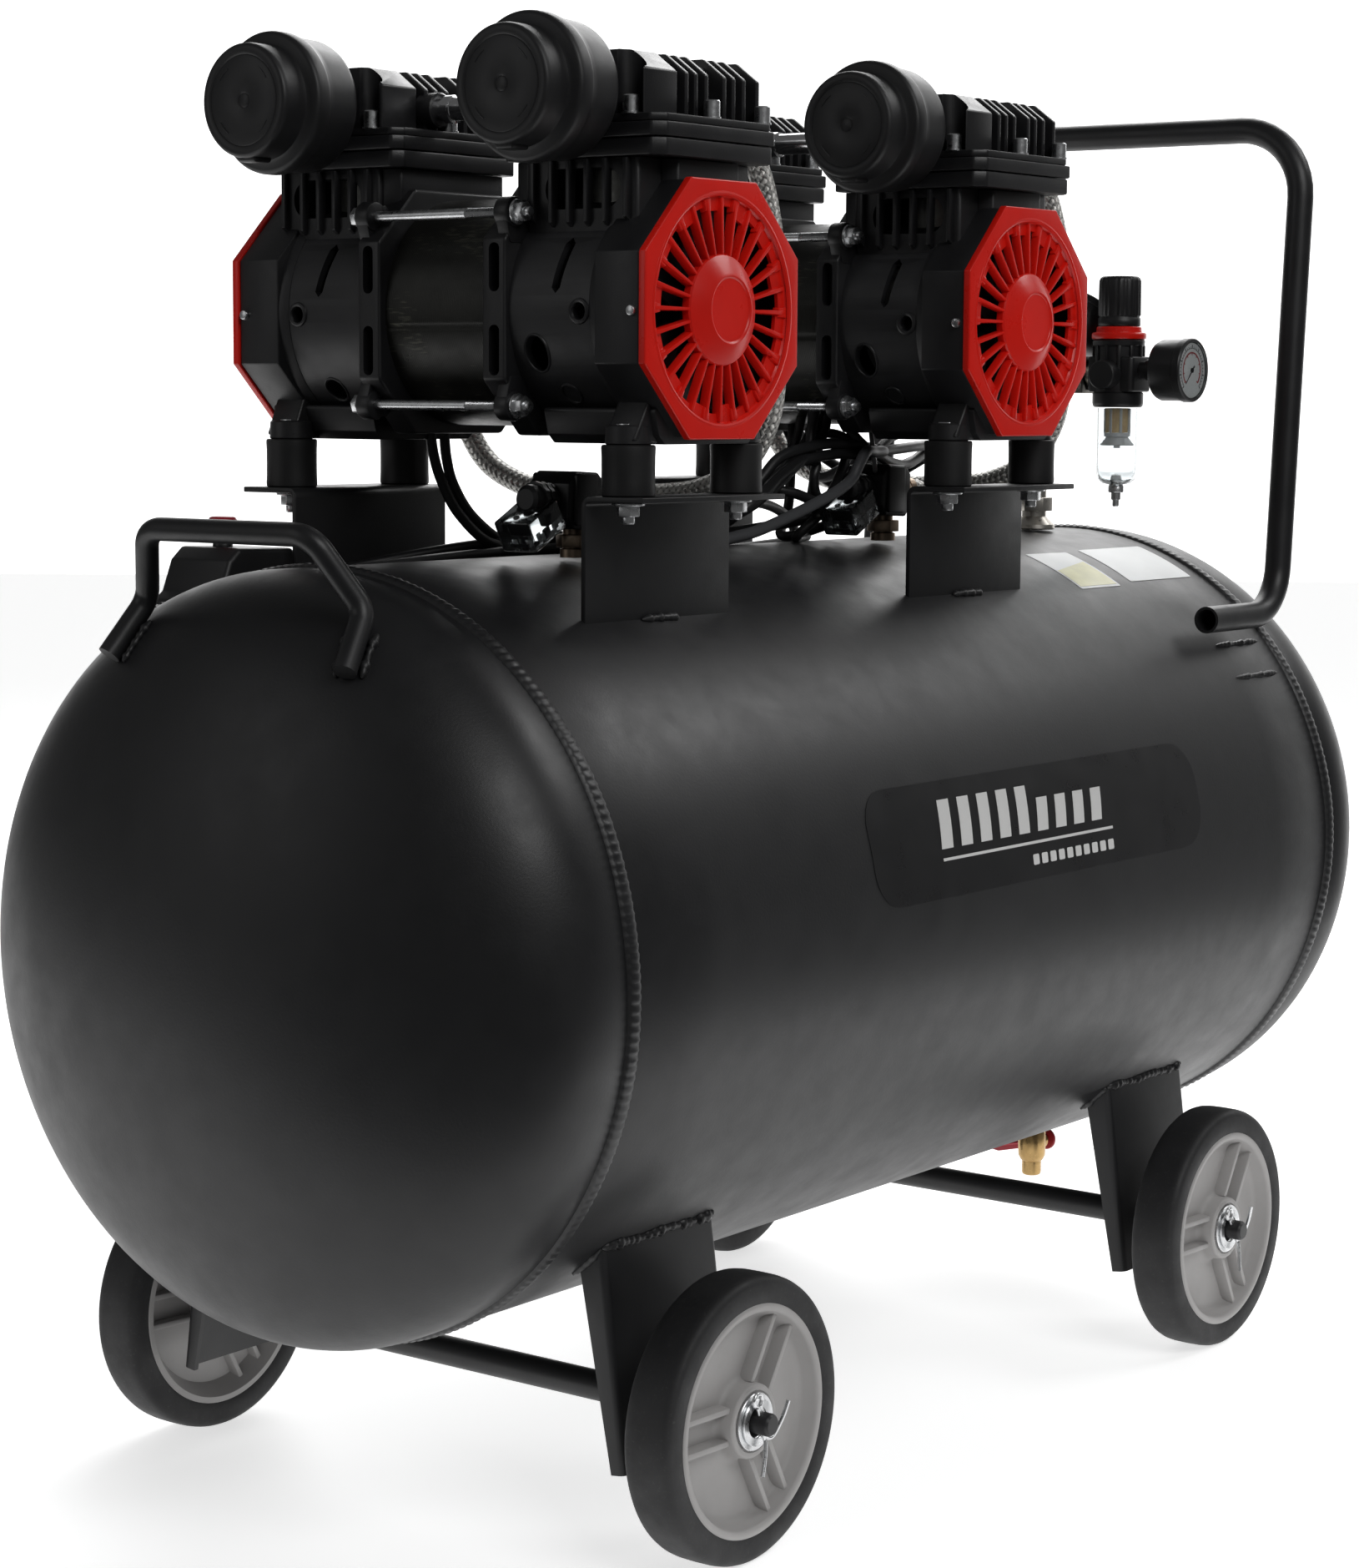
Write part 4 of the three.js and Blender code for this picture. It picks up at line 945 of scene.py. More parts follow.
def head():
    z0, z1, z2 = 76.0, 97.0, 129.5
    parts = []
    low = rnd_poly([(-51, 40), (-45, 35), (45, 35), (51, 40), (51, 134), (45, 140), (-45, 140), (-51, 134)], 3, 4)
    parts.append(prism("z", low, z0, z0 + 9.0, 1.0, 2))
    parts.append(prism("z", rnd_poly([(-52, 39), (-46, 34.5), (46, 34.5), (52, 39), (52, 135), (46, 141), (-46, 141), (-52, 135)], 3, 4), z0 + 9.5, z1 - 4.2, 0.9, 2))
    parts.append(prism("z", rnd_poly([(-50.5, 41), (-44, 36), (44, 36), (50.5, 41), (50.5, 133), (44, 139.5), (-44, 139.5), (-50.5, 133)], 3, 4), z1 - 4.0, z1, 0.8, 2))
    for x, y in ((-26, 140.2), (26, 140.2)):
        parts.append(cyl("z", 4.5, z0 + 9.6, z1 - 4.4, (x, y - 3.9, 0), 24, 0.8))
    sec = rnd_poly([(48.4, z1 - 1), (127.6, z1 - 1), (127.6, z2 - 10), (114, z2), (62, z2), (48.4, z2 - 10)], [0, 0, 2.0, 3.0, 3.0, 2.0], 5)
    block = prism("x", sec, -48, -20, 1.4, 3)
    parts.append(boolean(block, [cyl("z", 8.2, z1 - 0.8, z2 + 8, (-47.6, 118.6, 0), 40), cyl("z", 7.0, z1 - 0.8, z2 + 8, (-48, 57.4, 0), 40)]))
    parts.append(prism("x", rnd_poly([(54, z1 - 1), (121, z1 - 1), (121, z2 - 22), (110, z2 - 12), (65, z2 - 12), (54, z2 - 22)], 2, 4), -23, 50, 0.8, 2))
    for x in (-12.5, -4.6, 4.4, 20.0, 28.0, 37.0, 49.0):
        parts.append(prism("x", sec, x - 1.6, x + 1.9, 0.7, 2))
    parts.append(lathe("z", [(0, z1), (17.0, z1), (16.6, z2 - 6), (15.5, z2 - 4.8), (13.0, z2 - 4.6), (12.2, z2 - 5.6), (0, z2 - 5.6)], 44, (12.5, 101, 0)))
    parts.append(lathe("y", [(0, 40.2), (8.4, 40.2), (9.4, 41.2), (9.4, 52), (0, 52)], 32, (-9, 0, 108.5)))
    parts.append(lathe("x", [(0, 44), (8.0, 44), (8.0, 57), (7.2, 58), (0, 58)], 32, (0, CY, 108.5)))
    s = S().add(*parts)
    bolts = S()
    for x, y in ((-47.0, 118.6), (1.5, 133.2), (-46.5, 57.4), (46.0, 133.0), (44.5, 44), (0, 42.5)):
        hb = lathe("z", [(0, 97), (4.9, 97), (4.9, 97.9), (4.3, 98.0), (4.3, 105.8), (3.8, 106.4), (2.4, 106.4), (2.2, 103.0), (0, 103.0)], 28, (x, y, 0))
        bolts.add(hb)
    return s, bolts


def filter_body(notch_sign):
    prof = [(0, -112.2), (3.0, -112.2), (4.0, -111.7), (5.2, -112.3), (24.5, -112.3), (25.2, -111.9), (26.2, -112.6), (29.2, -112.7), (30.8, -112.2), (31.6, -111.0), (31.9, -109.0), (31.9, -98.5), (32.4, -96.6), (34.0, -95.6),
            (37.2, -95.1), (38.8, -94.5), (39.5, -93.4), (39.8, -91.8), (39.8, -86.5), (39.4, -85.0), (38.6, -84.2), (38.1, -83.0), (37.9, -80), (37.2, -64.5), (36.4, -62.0), (34.2, -60.4), (28, -59.8), (13.5, -59.4), (12.6, -58.2), (12.2, -48.2), (0, -48.2)]
    prof = [(r * (0.94 if x < -59.5 else 1.0), x) for r, x in prof]
    s = lathe("x", prof, 88, (0, CY, 108.5))
    # clip blister at the bottom of the rim, and raised flow marks round the face
    s.add(bevelled(box(-110, -97, CY - 6, CY + 6, 108.5 - 31.8, 108.5 - 26, 0), 1.6, 3))
    for k in range(4):
        a0 = math.radians(45 + 90 * k)
        pts = [(-112.35, CY + 20.0 * math.cos(a0 + t), 108.5 + 20.0 * math.sin(a0 + t)) for t in [x * 0.05 for x in range(-4, 5)]]
        s.add(tube(pts, 0.32, 6))
    return s


def cover():
    plate = prism("y", rnd_poly(octo(66, 28), 1.5, 3), 138.3, 143.0, 0.9, 3)
    plate = boolean(plate, [cyl("y", 58.4, 130, 150, seg=112)])
    parts = [plate]
    N = 28
    # stepped ledge inside the rim: its inner edge runs in and out with the slots
    v, f = [], []
    M = N * 8
    for k in range(M):
        a = 2 * math.pi * k / M
        ph = (k // 8) % 4
        rin = (53.0, 48.6, 53.4, 50.4)[ph]
        for r, y in ((59.0, 141.9), (57.4, 139.9), (rin, 139.3), (rin, 137.2), (59.0, 137.2)):
            v.append((r * math.cos(a), y, r * math.sin(a)))
    for k in range(M):
        j = (k + 1) % M
        for i in range(5):
            f.append((k * 5 + i, k * 5 + (i + 1) % 5, j * 5 + (i + 1) % 5, j * 5 + i))
    parts.append(S(v, f))
    for k in range(N):
        a = 360.0 * k / N
        t0, t1 = 1.0, 1.55
        r0, r1 = 27.0, 57.0
        y0, y1 = 136.9, 142.0
        vane = S([(r0, y0, -t0), (r1, y0, -t1), (r1, y0, t1), (r0, y0, t0), (r0, y1 + 0.3, -t0 * 0.7), (r1, y1 - 0.4, -t1 * 0.7), (r1, y1 - 0.4, t1 * 0.7), (r0, y1 + 0.3, t0 * 0.7)],
                 [(0, 1, 2, 3), (7, 6, 5, 4), (0, 4, 5, 1), (1, 5, 6, 2), (2, 6, 7, 3), (3, 7, 4, 0)])
        parts.append(bevelled(vane, 0.28, 2).turn("Y", a))
        if k % 2 == 0:
            # pad at the outer end of every second vane
            pad = S([(50.5, 137.4, -2.6), (57.6, 137.4, -3.2), (57.6, 137.4, 3.2), (50.5, 137.4, 2.6), (51.2, 141.2, -2.0), (57.6, 141.6, -2.7), (57.6, 141.6, 2.7), (51.2, 141.2, 2.0)],
                    [(0, 1, 2, 3), (7, 6, 5, 4), (0, 4, 5, 1), (1, 5, 6, 2), (2, 6, 7, 3), (3, 7, 4, 0)])
            parts.append(bevelled(pad, 0.5, 2).turn("Y", a))
    parts.append(lathe("y", [(0, 137), (27.6, 137), (28.4, 137.6), (28.5, 141.6), (27.9, 142.6), (18.6, 147.6), (17.4, 148.0), (16.6, 147.7), (16.0, 147.1), (0, 147.1)], 84))
    # low round bead round the opening
    parts.append(lathe("y", [(57.6, 141.8), (58.2, 143.0), (59.2, 143.4), (60.2, 143.1), (60.6, 142.6), (59.8, 141.6), (58.2, 141.2)], 112, closed=True))
    return S().add(*parts)


def unit_bolts():
    """Rod, nuts at the -Y end, bolt heads at the +Y end."""
    s = S()
    for sx in (-1, 1):
        for sz in (-1, 1):
            c = (sx * 58, 0, sz * 49.5)
            pr = [(0, -57.5), (2.2, -57.5), (2.7, -57.0)]
            y = -57.0
            while y < -20:
                pr += [(2.7, y), (2.32, y + 0.45)]
                y += 0.9
            pr += [(2.7, -19.5), (2.7, 52), (0, 52)]
            s.add(lathe("y", pr, 20, c))
            s.add(hexnut("y", 9.4, -59.6, -54.4, c, 0, 10 * sx + 20 * sz), cyl("y", 6.6, -54.6, -53.0, c, 30, 0.5), cyl("y", 2.7, -62.6, -59.0, c, 20, 0.6))
            s.add(hexnut("y", 9.4, 54.0, 58.6, c, 0, 20 * sx + 8), cyl("y", 6.6, 52.8, 54.2, c, 30, 0.5))
    return s


crank_near, crank_far, (head0, bolts0), cover0 = crankcase(True), crankcase(False), head(), cover()
stat_prof = [(40, -37), (60.4, -37), (60.4, 37), (40, 37)]
GROOVES = [math.radians(a) for a in (168, 188, 12, -8, 90, 270)]


def groove(a, t):
    d = min(abs((a - g + math.pi) % (2 * math.pi) - math.pi) for g in GROOVES)
    return 1 - 0.012 * math.exp(-(d / 0.012) ** 2)


stator0 = lathe("y", [(50, -37)] + [(60.4, -37 + 74 * k / 8) for k in range(9)] + [(50, 37)], 240, closed=True, rfun=groove)


def fan():
    s = S()
    core = lathe("y", [(0, -134), (7.5, -134), (7.5, -48), (33, -48), (33, 48), (7.5, 48), (7.5, 134), (0, 134)], 40)
    for sg in (-1, 1):
        hub = lathe("y", [(0, sg * 133), (6, sg * 133), (15.5, sg * 130.5), (16.2, sg * 128), (16.2, sg * 114), (0, sg * 114)], 40)
        s.add(hub)
        for k in range(7):
            v, f = [], []
            n = 8
            for j in range(n):
                r = 15 + 37 * j / (n - 1)
                tw = math.radians(50 - 22 * j / (n - 1))
                for q in range(5):
                    u = -9 + 18 * q / 4
                    y = 123.5 + u * math.cos(tw) * 0.6
                    tt = u * math.sin(tw) + 0.04 * (u * u)
                    for o in (-0.8, 0.8):
                        v.append((r, sg * (y + o), tt))
            for j in range(n - 1):
                for q in range(4):
                    a = (j * 5 + q) * 2
                    b = (j * 5 + q + 1) * 2
                    c = ((j + 1) * 5 + q + 1) * 2
                    d = ((j + 1) * 5 + q) * 2
                    f.append((a, b, c, d))
                    f.append((a + 1, d + 1, c + 1, b + 1))
            for j in range(n - 1):
                for q in (0, 4):
                    a, d = (j * 5 + q) * 2, ((j + 1) * 5 + q) * 2
                    f.append((a, d, d + 1, a + 1))
            for j in (0, n - 1):
                for q in range(4):
                    a, b = (j * 5 + q) * 2, (j * 5 + q + 1) * 2
                    f.append((a, b, b + 1, a + 1))
            s.add(S(v, f).turn("Y", 360 * k / 7))
    return core, s


core0, fan0 = fan()
tie0 = unit_bolts()
liner0 = ring("z", 26.5, 29.5, 36, 75.7, (0, CY, 0), 56)
for i, ux in enumerate(UX):
    n = i + 1
    for side, sg in SIDES:
        k = f"{n}_{side}"

        def put(s):
            return (s if sg > 0 else s.flip()).move(ux, 0, UZ)
        emit(f"crankcase_casting_{k}", put(crank_near if sg < 0 else crank_far), CAST, rep=f"crankcase_{k}", slot="cast_housing", sharp=30)
        emit(f"head_casting_{k}", put(head0), HEADM, rep=f"cylinder_head_{k}", slot="cast_housing", sharp=30)
        emit(f"head_bolts_{k}", put(bolts0), ZINC, slot="zinc_steel")
        emit(f"fan_grille_{k}", put(cover0), RED, rep=f"fan_cover_{k}", slot="red_cover", sharp=30)
        emit(f"air_filter_{k}", put(filter_body(sg)), FILTERM, rep=f"intake_filter_{k}", slot="black_plastic", sharp=40)
        emit(f"cylinder_liner_{k}", put(liner0), LINER, slot="zinc_steel")
        sc = cyl("x", 2.7, -67.4, -64.2, (0, 133.8, -1.5), 24, 1.0)
        for sx in (-1, 1):
            sc.add(cyl("z", 3.9, -60.5, -57.2 + 1.2, (sx * 46.5, 117.5, 0), 24, 0.9))
            sc.add(cyl("z", 6.4, -59.4, -58.0, (sx * 46.5, 117.5, 0), 28, 0.4))
        emit(f"housing_screws_{k}", put(sc), ZINC, slot="zinc_steel")
    emit(f"stator_stack_{n}", stator0.move(ux, 0, UZ), STATOR, rep=f"stator_{n}", slot="motor_laminations", sharp=60)
    emit(f"rotor_core_{n}", core0.move(ux, 0, UZ), LINER, body=f"rotor_{n}", rep=f"rotor_{n}", slot="zinc_steel")
    emit(f"cooling_fans_{n}", fan0.move(ux, 0, UZ), INNER, body=f"rotor_{n}", slot="black_plastic")
    emit(f"tie_rods_{n}", tie0.move(ux, 0, UZ), ZINC, slot="zinc_steel")
    ct = lathe("y", [(5.2, -40.5), (6.4, -40.5), (6.4, -36), (7.6, -35.6), (7.6, -31), (6.4, -30.6), (6.4, 30.6), (7.6, 31), (7.6, 35.6), (6.4, 36), (6.4, 40.5), (5.2, 40.5)], 40, (ux - 9, 0, 747), closed=True)
    emit(f"head_cross_tube_{n}", ct, CHROME, rep=f"cross_tube_{n}", slot="chrome_tube")


# ------------------------------------------------------------------ delivery hoses
def hose_uv(s, pitch_u, around):
    sides = s.sides
    nring = len(s.lengths)

    def uv(vi, pi, nv):
        ringi, k = divmod(vi, sides)
        if nv > 4:
            return (0.0, 0.0)
        quad = pi % sides
        kk = k
        if quad == sides - 1 and k == 0:
            kk = sides
        return (s.lengths[min(ringi, nring - 1)] / pitch_u, around * kk / sides)
    return uv


for i, ux in enumerate(UX):
    n = i + 1
    up = [(61, CY, 108.5), (70, 89.0, 107.0), (80, 95, 97), (86, 104, 72), (87.5, 110.5, 40), (87.5, 113.5, 5), (87.5, 113.5, -28), (87.5, 107, -58), (87.5, 90, -82), (87.5, 62, -95)]
    mid = [(87.5, 30, -99), (87.5, 0, -99.5), (87.5, -30, -99)]
    dn = [(x, -y - (1.5 if z < -30 else 0), z) for x, y, z in reversed(up)]
    pts = smooth(up + mid + dn, 12)
    pts = [(x + ux, y, z + UZ) for x, y, z in pts]
    s = tube(pts, 6.35, 28)
    emit(f"braided_hose_{n}", s, BRAID, rep=f"delivery_hose_{n}", slot="steel_braid", sharp=60, uv=hose_uv(s, 4.4, 9.0))
    fit = S()
    for sg in (-1, 1):
        a = Vector((ux + 58, sg * CY, UZ + 108.5))
        fit.add(hexnut("x", 15.0, ux + 57.4, ux + 64.5, (0, sg * CY, UZ + 108.5)))
        b = Vector((ux + 62, sg * (CY + 0.1), UZ + 108.5))
        c = Vector((ux + 76.5, sg * (CY + 4.6), UZ + 102.6))
        fit.add(tube(smooth([tuple(b), (ux + 70, sg * 89.0, UZ + 107.2), tuple(c)], 8), lambda q, ln: 7.3 if 3 < ln < 13 else 7.05, 28))
    emit(f"hose_ferrules_{n}", fit, NICKEL, slot="nickel_fittings")


# ------------------------------------------------------------------ unloader solenoid valves
for i, ux in enumerate(UX):
    n = i + 1
    c = Vector((ux + 10, -30, 538))
    tiltm = Matrix.Translation(c) @ Matrix.Rotation(math.radians(3), 4, "Y")
    plugm = Matrix.Translation((c.x - 29, c.y, c.z - 12)) @ Matrix.Rotation(math.radians(-28), 4, "Y")
    coil = S()
    coil.add(prism("y", rnd_poly([(-14, -9), (-9, -15), (13, -15), (17, -9), (17, 11), (11, 16), (-7, 16), (-14, 9)], 1.5, 3), -14, 14, 1.4, 2))
    coil.add(prism("y", rnd_poly([(-9, -13), (9, -13), (9, 15), (-9, 15)], 2, 3), -15.5, 15.5, 1.0, 2))
    gland = lathe("x", [(0, -33), (5.5, -33), (7.6, -31.5), (8.2, -27), (8.2, -26), (9.6, -26), (9.6, -23), (8.4, -22.6), (8.4, -21.8), (9.6, -21.4), (9.6, -18.4), (8.4, -18), (8.4, -17.2), (9.4, -16.8), (9.4, -13), (0, -13)], 44,
                  rfun=lambda a, t: 1 + (0.035 * math.cos(a * 12) if -26.5 < t < -16 else 0))
    coil.add(gland)
    coil.add(hexnut("x", 14, 16, 22, (0, 0, 0)))
    coil = coil.mat(tiltm)
    emit(f"solenoid_coil_{n}", coil, BLACKP, rep=f"unloader_valve_{n}", slot="black_plastic")
    plug = bevelled(box(-14.2, 14.2, -12, 12, -9.1, 9.1, 0), 1.6, 3)
    inner = box(-12.9, 12.9, -10.7, 10.7, -7.8, 7.8, 0)
    plug = boolean(plug, [inner])
    emit(f"din_plug_clear_{n}", plug.mat(plugm), CLEARM, slot="clear_bowl")
    core = S().add(box(1.5, 12.6, -7.5, 7.5, -2.0, 7.2, 0.8), box(-11.5, -7.0, -6, 6, -6.5, -4.8, 0.5))
    core.add(cyl("z", 3.0, -6.8, -2.8, (2, 0, 0), 24, 0.5))
    emit(f"din_plug_core_{n}", core.mat(plugm), BLACKP, slot="black_plastic")
    pins = S().add(cyl("z", 1.7, -7.0, -3, (-3, 4.5, 0), 18, 0.4), cyl("z", 1.7, -7.0, -3, (-3, -4.5, 0), 18, 0.4), box(7.0, 11.5, -1.2, 1.2, -7.0, -2.8, 0.3))
    emit(f"din_plug_pins_{n}", pins.mat(plugm), ZINC, slot="zinc_steel")
    fit = S()
    fit.add(hexnut("x", 16, 20, 27, (c.x, c.y, c.z + 1)))
    fit.add(lathe("x", [(0, 26), (5.4, 26), (5.4, 30), (6.6, 30.5), (6.6, 36), (5.2, 36.5), (5.2, 40), (0, 40)], 30, (c.x, c.y, c.z + 1)))
    fit.add(lathe("z", [(0, -30.5), (7.5, -30.5), (7.5, -26), (6.0, -25.5), (6.0, -14), (0, -14)], 30, (c.x + 8, c.y, c.z)))
    fit.add(hexnut("z", 17, -25, -18, (c.x + 8, c.y, c.z)))
    emit(f"valve_fittings_{n}", fit, BRONZE, slot="brass_fittings")
    # short braided branch from the valve up towards the hose bottom
    br = smooth([(c.x + 38, c.y, c.z + 1), (c.x + 46, c.y, c.z + 0.5), (c.x + 54, c.y + 3, c.z - 2), (c.x + 62, c.y + 9, c.z - 5)], 10)
    s = tube(br, 5.4, 24)
    emit(f"branch_hose_{n}", s, BRAID, slot="steel_braid", sharp=60, uv=hose_uv(s, 4.4, 8.0))

# ------------------------------------------------------------------ outlet group
rx, ry, pz = 310.0, -70.0, 610.0
man = S()
man.add(lathe("z", [(0, 507.7), (13.2, 507.7), (13.9, 508.6), (13.6, 511), (10, 514.5), (8.2, 516.5), (8.0, 596), (0, 596)], 40, (rx, -8, 0)))
man.add(hexnut("z", 21, 520, 529, (rx, -8, 0)))
man.add(prism("y", rnd_poly([(-11.5, -12), (11.5, -12), (11.5, 12), (-11.5, 12)], 1.8, 3), -49, 2, 1.2, 2).move(rx, 0, pz))
man.add(lathe("y", [(0, ry + 17.2), (8.2, ry + 17.2), (8.2, -49), (0, -49)], 34, (rx, 0, pz)))
man.add(hexnut("y", 20.5, ry + 21, ry + 29, (rx, 0, pz)))
man.add(along((rx, -24, pz + 8), (rx + 12, -30, pz + 26), lathe("z", [(0, 0), (5, 0), (5, 16), (6.8, 16.4), (6.8, 21), (0, 21)], 28)))
emit("outlet_manifold_block", man, NICKEL, rep="outlet_manifold", slot="nickel_fittings")
g0, g1 = Vector((rx + 9, -29, pz + 21)), Vector((rx + 25, -39, pz + 43))
gl = (g1 - g0).length
can = along(g0, g1, lathe("z", [(0, 0), (12, 0), (16.8, 2.2), (17.8, 4), (17.8, gl - 5), (18.5, gl - 4.4), (18.5, gl - 0.6), (18.0, gl), (16.6, gl), (16.2, gl - 1.6), (0, gl - 1.6)], 60))
emit("receiver_gauge_can", can, BLACKP, slot="black_plastic")
dial = along(g0, g1, lathe("z", [(0, gl - 1.5), (16.0, gl - 1.5), (16.0, gl - 1.1), (0, gl - 1.1)], 60))
emit("receiver_gauge_dial", dial, PAPER, slot="white_print")


def flat_arc(r0, r1, a0, a1, t0, t1, n=24):
    pts = [(r1 * math.cos(a0 + (a1 - a0) * k / n), r1 * math.sin(a0 + (a1 - a0) * k / n)) for k in range(n + 1)]
    pts += [(r0 * math.cos(a1 + (a0 - a1) * k / n), r0 * math.sin(a1 + (a0 - a1) * k / n)) for k in range(n + 1)]
    return prism("z", pts, t0, t1)


def dial_marks(R):
    red, blk = S(), S()
    red.add(flat_arc(R * 0.62, R * 0.68, math.radians(-45), math.radians(225), 0, 0.12))
    blk.add(flat_arc(R * 0.80, R * 0.82, math.radians(-45), math.radians(225), 0, 0.12))
    for k in range(33):
        a = math.radians(-45 + 270 * k / 32)
        L = 0.12 if k % 4 == 0 else 0.06
        w = 0.022 if k % 4 == 0 else 0.012
        q = S().add(box(R * (0.82), R * (0.82 + L), -R * w, R * w, 0, 0.12, 0))
        blk.add(q.turn("Z", math.degrees(a)))
        if k % 4 == 0:
            red.add(box(R * 0.56, R * 0.62, -R * 0.02, R * 0.02, 0, 0.12, 0).turn("Z", math.degrees(a)))
    blk.add(prism("z", [(-R * 0.03, -R * 0.22), (R * 0.03, -R * 0.22), (R * 0.008, R * 0.7), (-R * 0.008, R * 0.7)], 0.5, 0.8).turn("Z", 136))
    blk.add(cyl("z", R * 0.09, 0, 1.2, seg=24, b=0.3))
    return red, blk


rr_, bb_ = dial_marks(16.0)
M_ = Matrix.Translation(g0) @ Vector((0, 0, 1)).rotation_difference((g1 - g0).normalized()).to_matrix().to_4x4() @ Matrix.Translation((0, 0, gl - 1.15))
emit("receiver_gauge_red", rr_.mat(M_), DIALRED, slot="white_print")
emit("receiver_gauge_black", bb_.mat(M_), DIALBLK, slot="black_plastic")
lens = along(g0, g1, lathe("z", [(0, gl - 0.5), (16.3, gl - 0.5), (16.3, gl - 0.1), (0, gl - 0.1)], 60))
emit("receiver_gauge_lens", lens, CLEARM, slot="clear_bowl")

# regulator body
reg = S()
reg.add(lathe("z", [(0, 589), (15.2, 589), (16.2, 590), (16.6, 592), (16.6, 598), (15.6, 599), (15.6, 628), (16.8, 629.2), (17.0, 632), (16.2, 633.2), (0, 633.2)], 56, (rx, ry, 0)))
reg.add(prism("z", rnd_poly([(-13, -17.5), (13, -17.5), (13, 16.5), (-13, 16.5)], 3.5, 5), pz - 11, pz + 12, 1.6, 3).move(rx, ry, 0))
reg.add(lathe("x", [(0, 8), (9.4, 8), (9.4, 22.4), (8.6, 23), (5.2, 23), (5.0, 17), (0, 17)], 40, (rx, ry, pz)))
reg.add(lathe("x", [(0, -23), (8.6, -23), (9.4, -22.4), (9.4, -8), (0, -8)], 40, (rx, ry, pz)))
for k in range(12):
    a = math.radians(30 * k)
    reg.add(box(15.4, 17.1, -1.1, 1.1, 613, 629, 0.4).turn("Z", math.degrees(a)).move(rx, ry, 0))
emit("regulator_housing", reg, BLACKP, rep="regulator_body", slot="black_plastic")
redc = lathe("z", [(12, 633.2), (17.4, 633.2), (17.8, 633.8), (17.8, 636.4), (17.2, 637.2), (14.8, 637.8), (14.6, 640.6), (14.0, 641.2), (12, 641.2)], 56, (rx, ry, 0), closed=True)
emit("regulator_lock_ring", redc, RED, slot="red_cover")
kn = lathe("z", [(0, 641.5), (13.4, 641.5), (13.8, 642.2), (13.8, 646.4), (13.2, 647), (13.2, 648), (13.6, 648.6), (13.4, 670.6), (12.8, 672.6), (11.4, 673.7), (4.2, 673.8), (3.6, 672.9), (0, 672.9)], 96, (rx, ry, 0),
           rfun=lambda a, t: 1 + (0.028 * math.cos(a * 24) if 648 < t < 671 else 0))
emit("regulator_knob_ribbed", kn, BLACKP, body="regulator_knob", rep="regulator_knob", slot="black_plastic", sharp=60)

# clear bowl with its parts
bowl = lathe("z", [(13.9, 588.6), (13.9, 552), (13.4, 546), (12.0, 542.0), (9.5, 539.6), (4.5, 538.6), (4.5, 540.2), (8.8, 541.4), (10.8, 543.4), (12.0, 547), (12.4, 552), (12.4, 588.6)], 56, (rx, ry, 0), closed=True)
emit("bowl_clear", bowl, CLEARM, rep="filter_bowl", slot="clear_bowl")
emit("filter_element", lathe("z", [(0, 572.6), (7.6, 572.6), (8.0, 573.2), (8.0, 588.4), (0, 588.6)], 44, (rx, ry, 0)), SINTER, slot="brass_fittings")
bf = S().add(lathe("z", [(0, 562.5), (2.2, 562.5), (2.2, 567), (6.5, 567.4), (10.6, 564.2), (11.0, 564.8), (7.2, 569.6), (8.6, 570.2), (8.6, 572.4), (0, 572.4)], 44, (rx, ry, 0)))
for k in range(8):
    bf.add(box(8.0, 8.9, -0.9, 0.9, 572.4, 588.2, 0.25).turn("Z", 45 * k).move(rx, ry, 0))
bf.add(lathe("z", [(0, 540.6), (3.4, 540.6), (3.8, 542), (3.0, 544.5), (0, 545.5)], 28, (rx, ry, 0)))
emit("bowl_baffle", bf, WHITEP, slot="white_print")
dr = S().add(lathe("z", [(0, 533.5), (4.6, 533.5), (5.2, 534.2), (5.2, 537.6), (4.6, 538.6), (0, 538.8)], 32, (rx, ry, 0)), lathe("z", [(0, 524.3), (1.6, 524.3), (2.2, 525), (2.2, 528.5), (3.2, 529), (3.2, 533.5), (0, 533.5)], 28, (rx, ry, 0)))
emit("bowl_drain", dr, ZINC, slot="zinc_steel")

# outlet gauge
GZ = pz + 3.0
gc = lathe("y", [(0, ry - 17.4), (6, ry - 17.4), (6, ry - 22), (7.2, ry - 22.4), (7.2, ry - 27), (6, ry - 27.6), (6, ry - 29.5), (13.5, ry - 30), (18.6, ry - 31.6), (19.7, ry - 34), (19.7, ry - 49), (20.5, ry - 49.6), (20.5, ry - 54.2), (19.9, ry - 55), (18.2, ry - 55), (17.8, ry - 53.0), (0, ry - 53.0)], 72, (rx, 0, GZ))
emit("outlet_gauge_can", gc, BLACKP, rep="outlet_gauge", slot="black_plastic")
FY = ry - 53.1
emit("outlet_gauge_dial", lathe("y", [(0, FY), (17.6, FY), (17.6, FY - 0.4), (0, FY - 0.4)], 64, (rx, 0, GZ)), PAPER, slot="white_print")
rr_, bb_ = dial_marks(17.4)
MG = Matrix.Translation((rx, FY - 0.42, GZ)) @ Matrix.Rotation(math.radians(90), 4, "X")
emit("outlet_gauge_red", rr_.mat(MG), DIALRED, slot="red_cover")
emit("outlet_gauge_black", bb_.mat(MG), DIALBLK, slot="black_plastic")
emit("outlet_gauge_lens", lathe("y", [(0, ry - 54.3), (18.0, ry - 54.3), (18.0, ry - 54.8), (0, ry - 54.8)], 64, (rx, 0, GZ)), CLEARM, slot="clear_bowl")

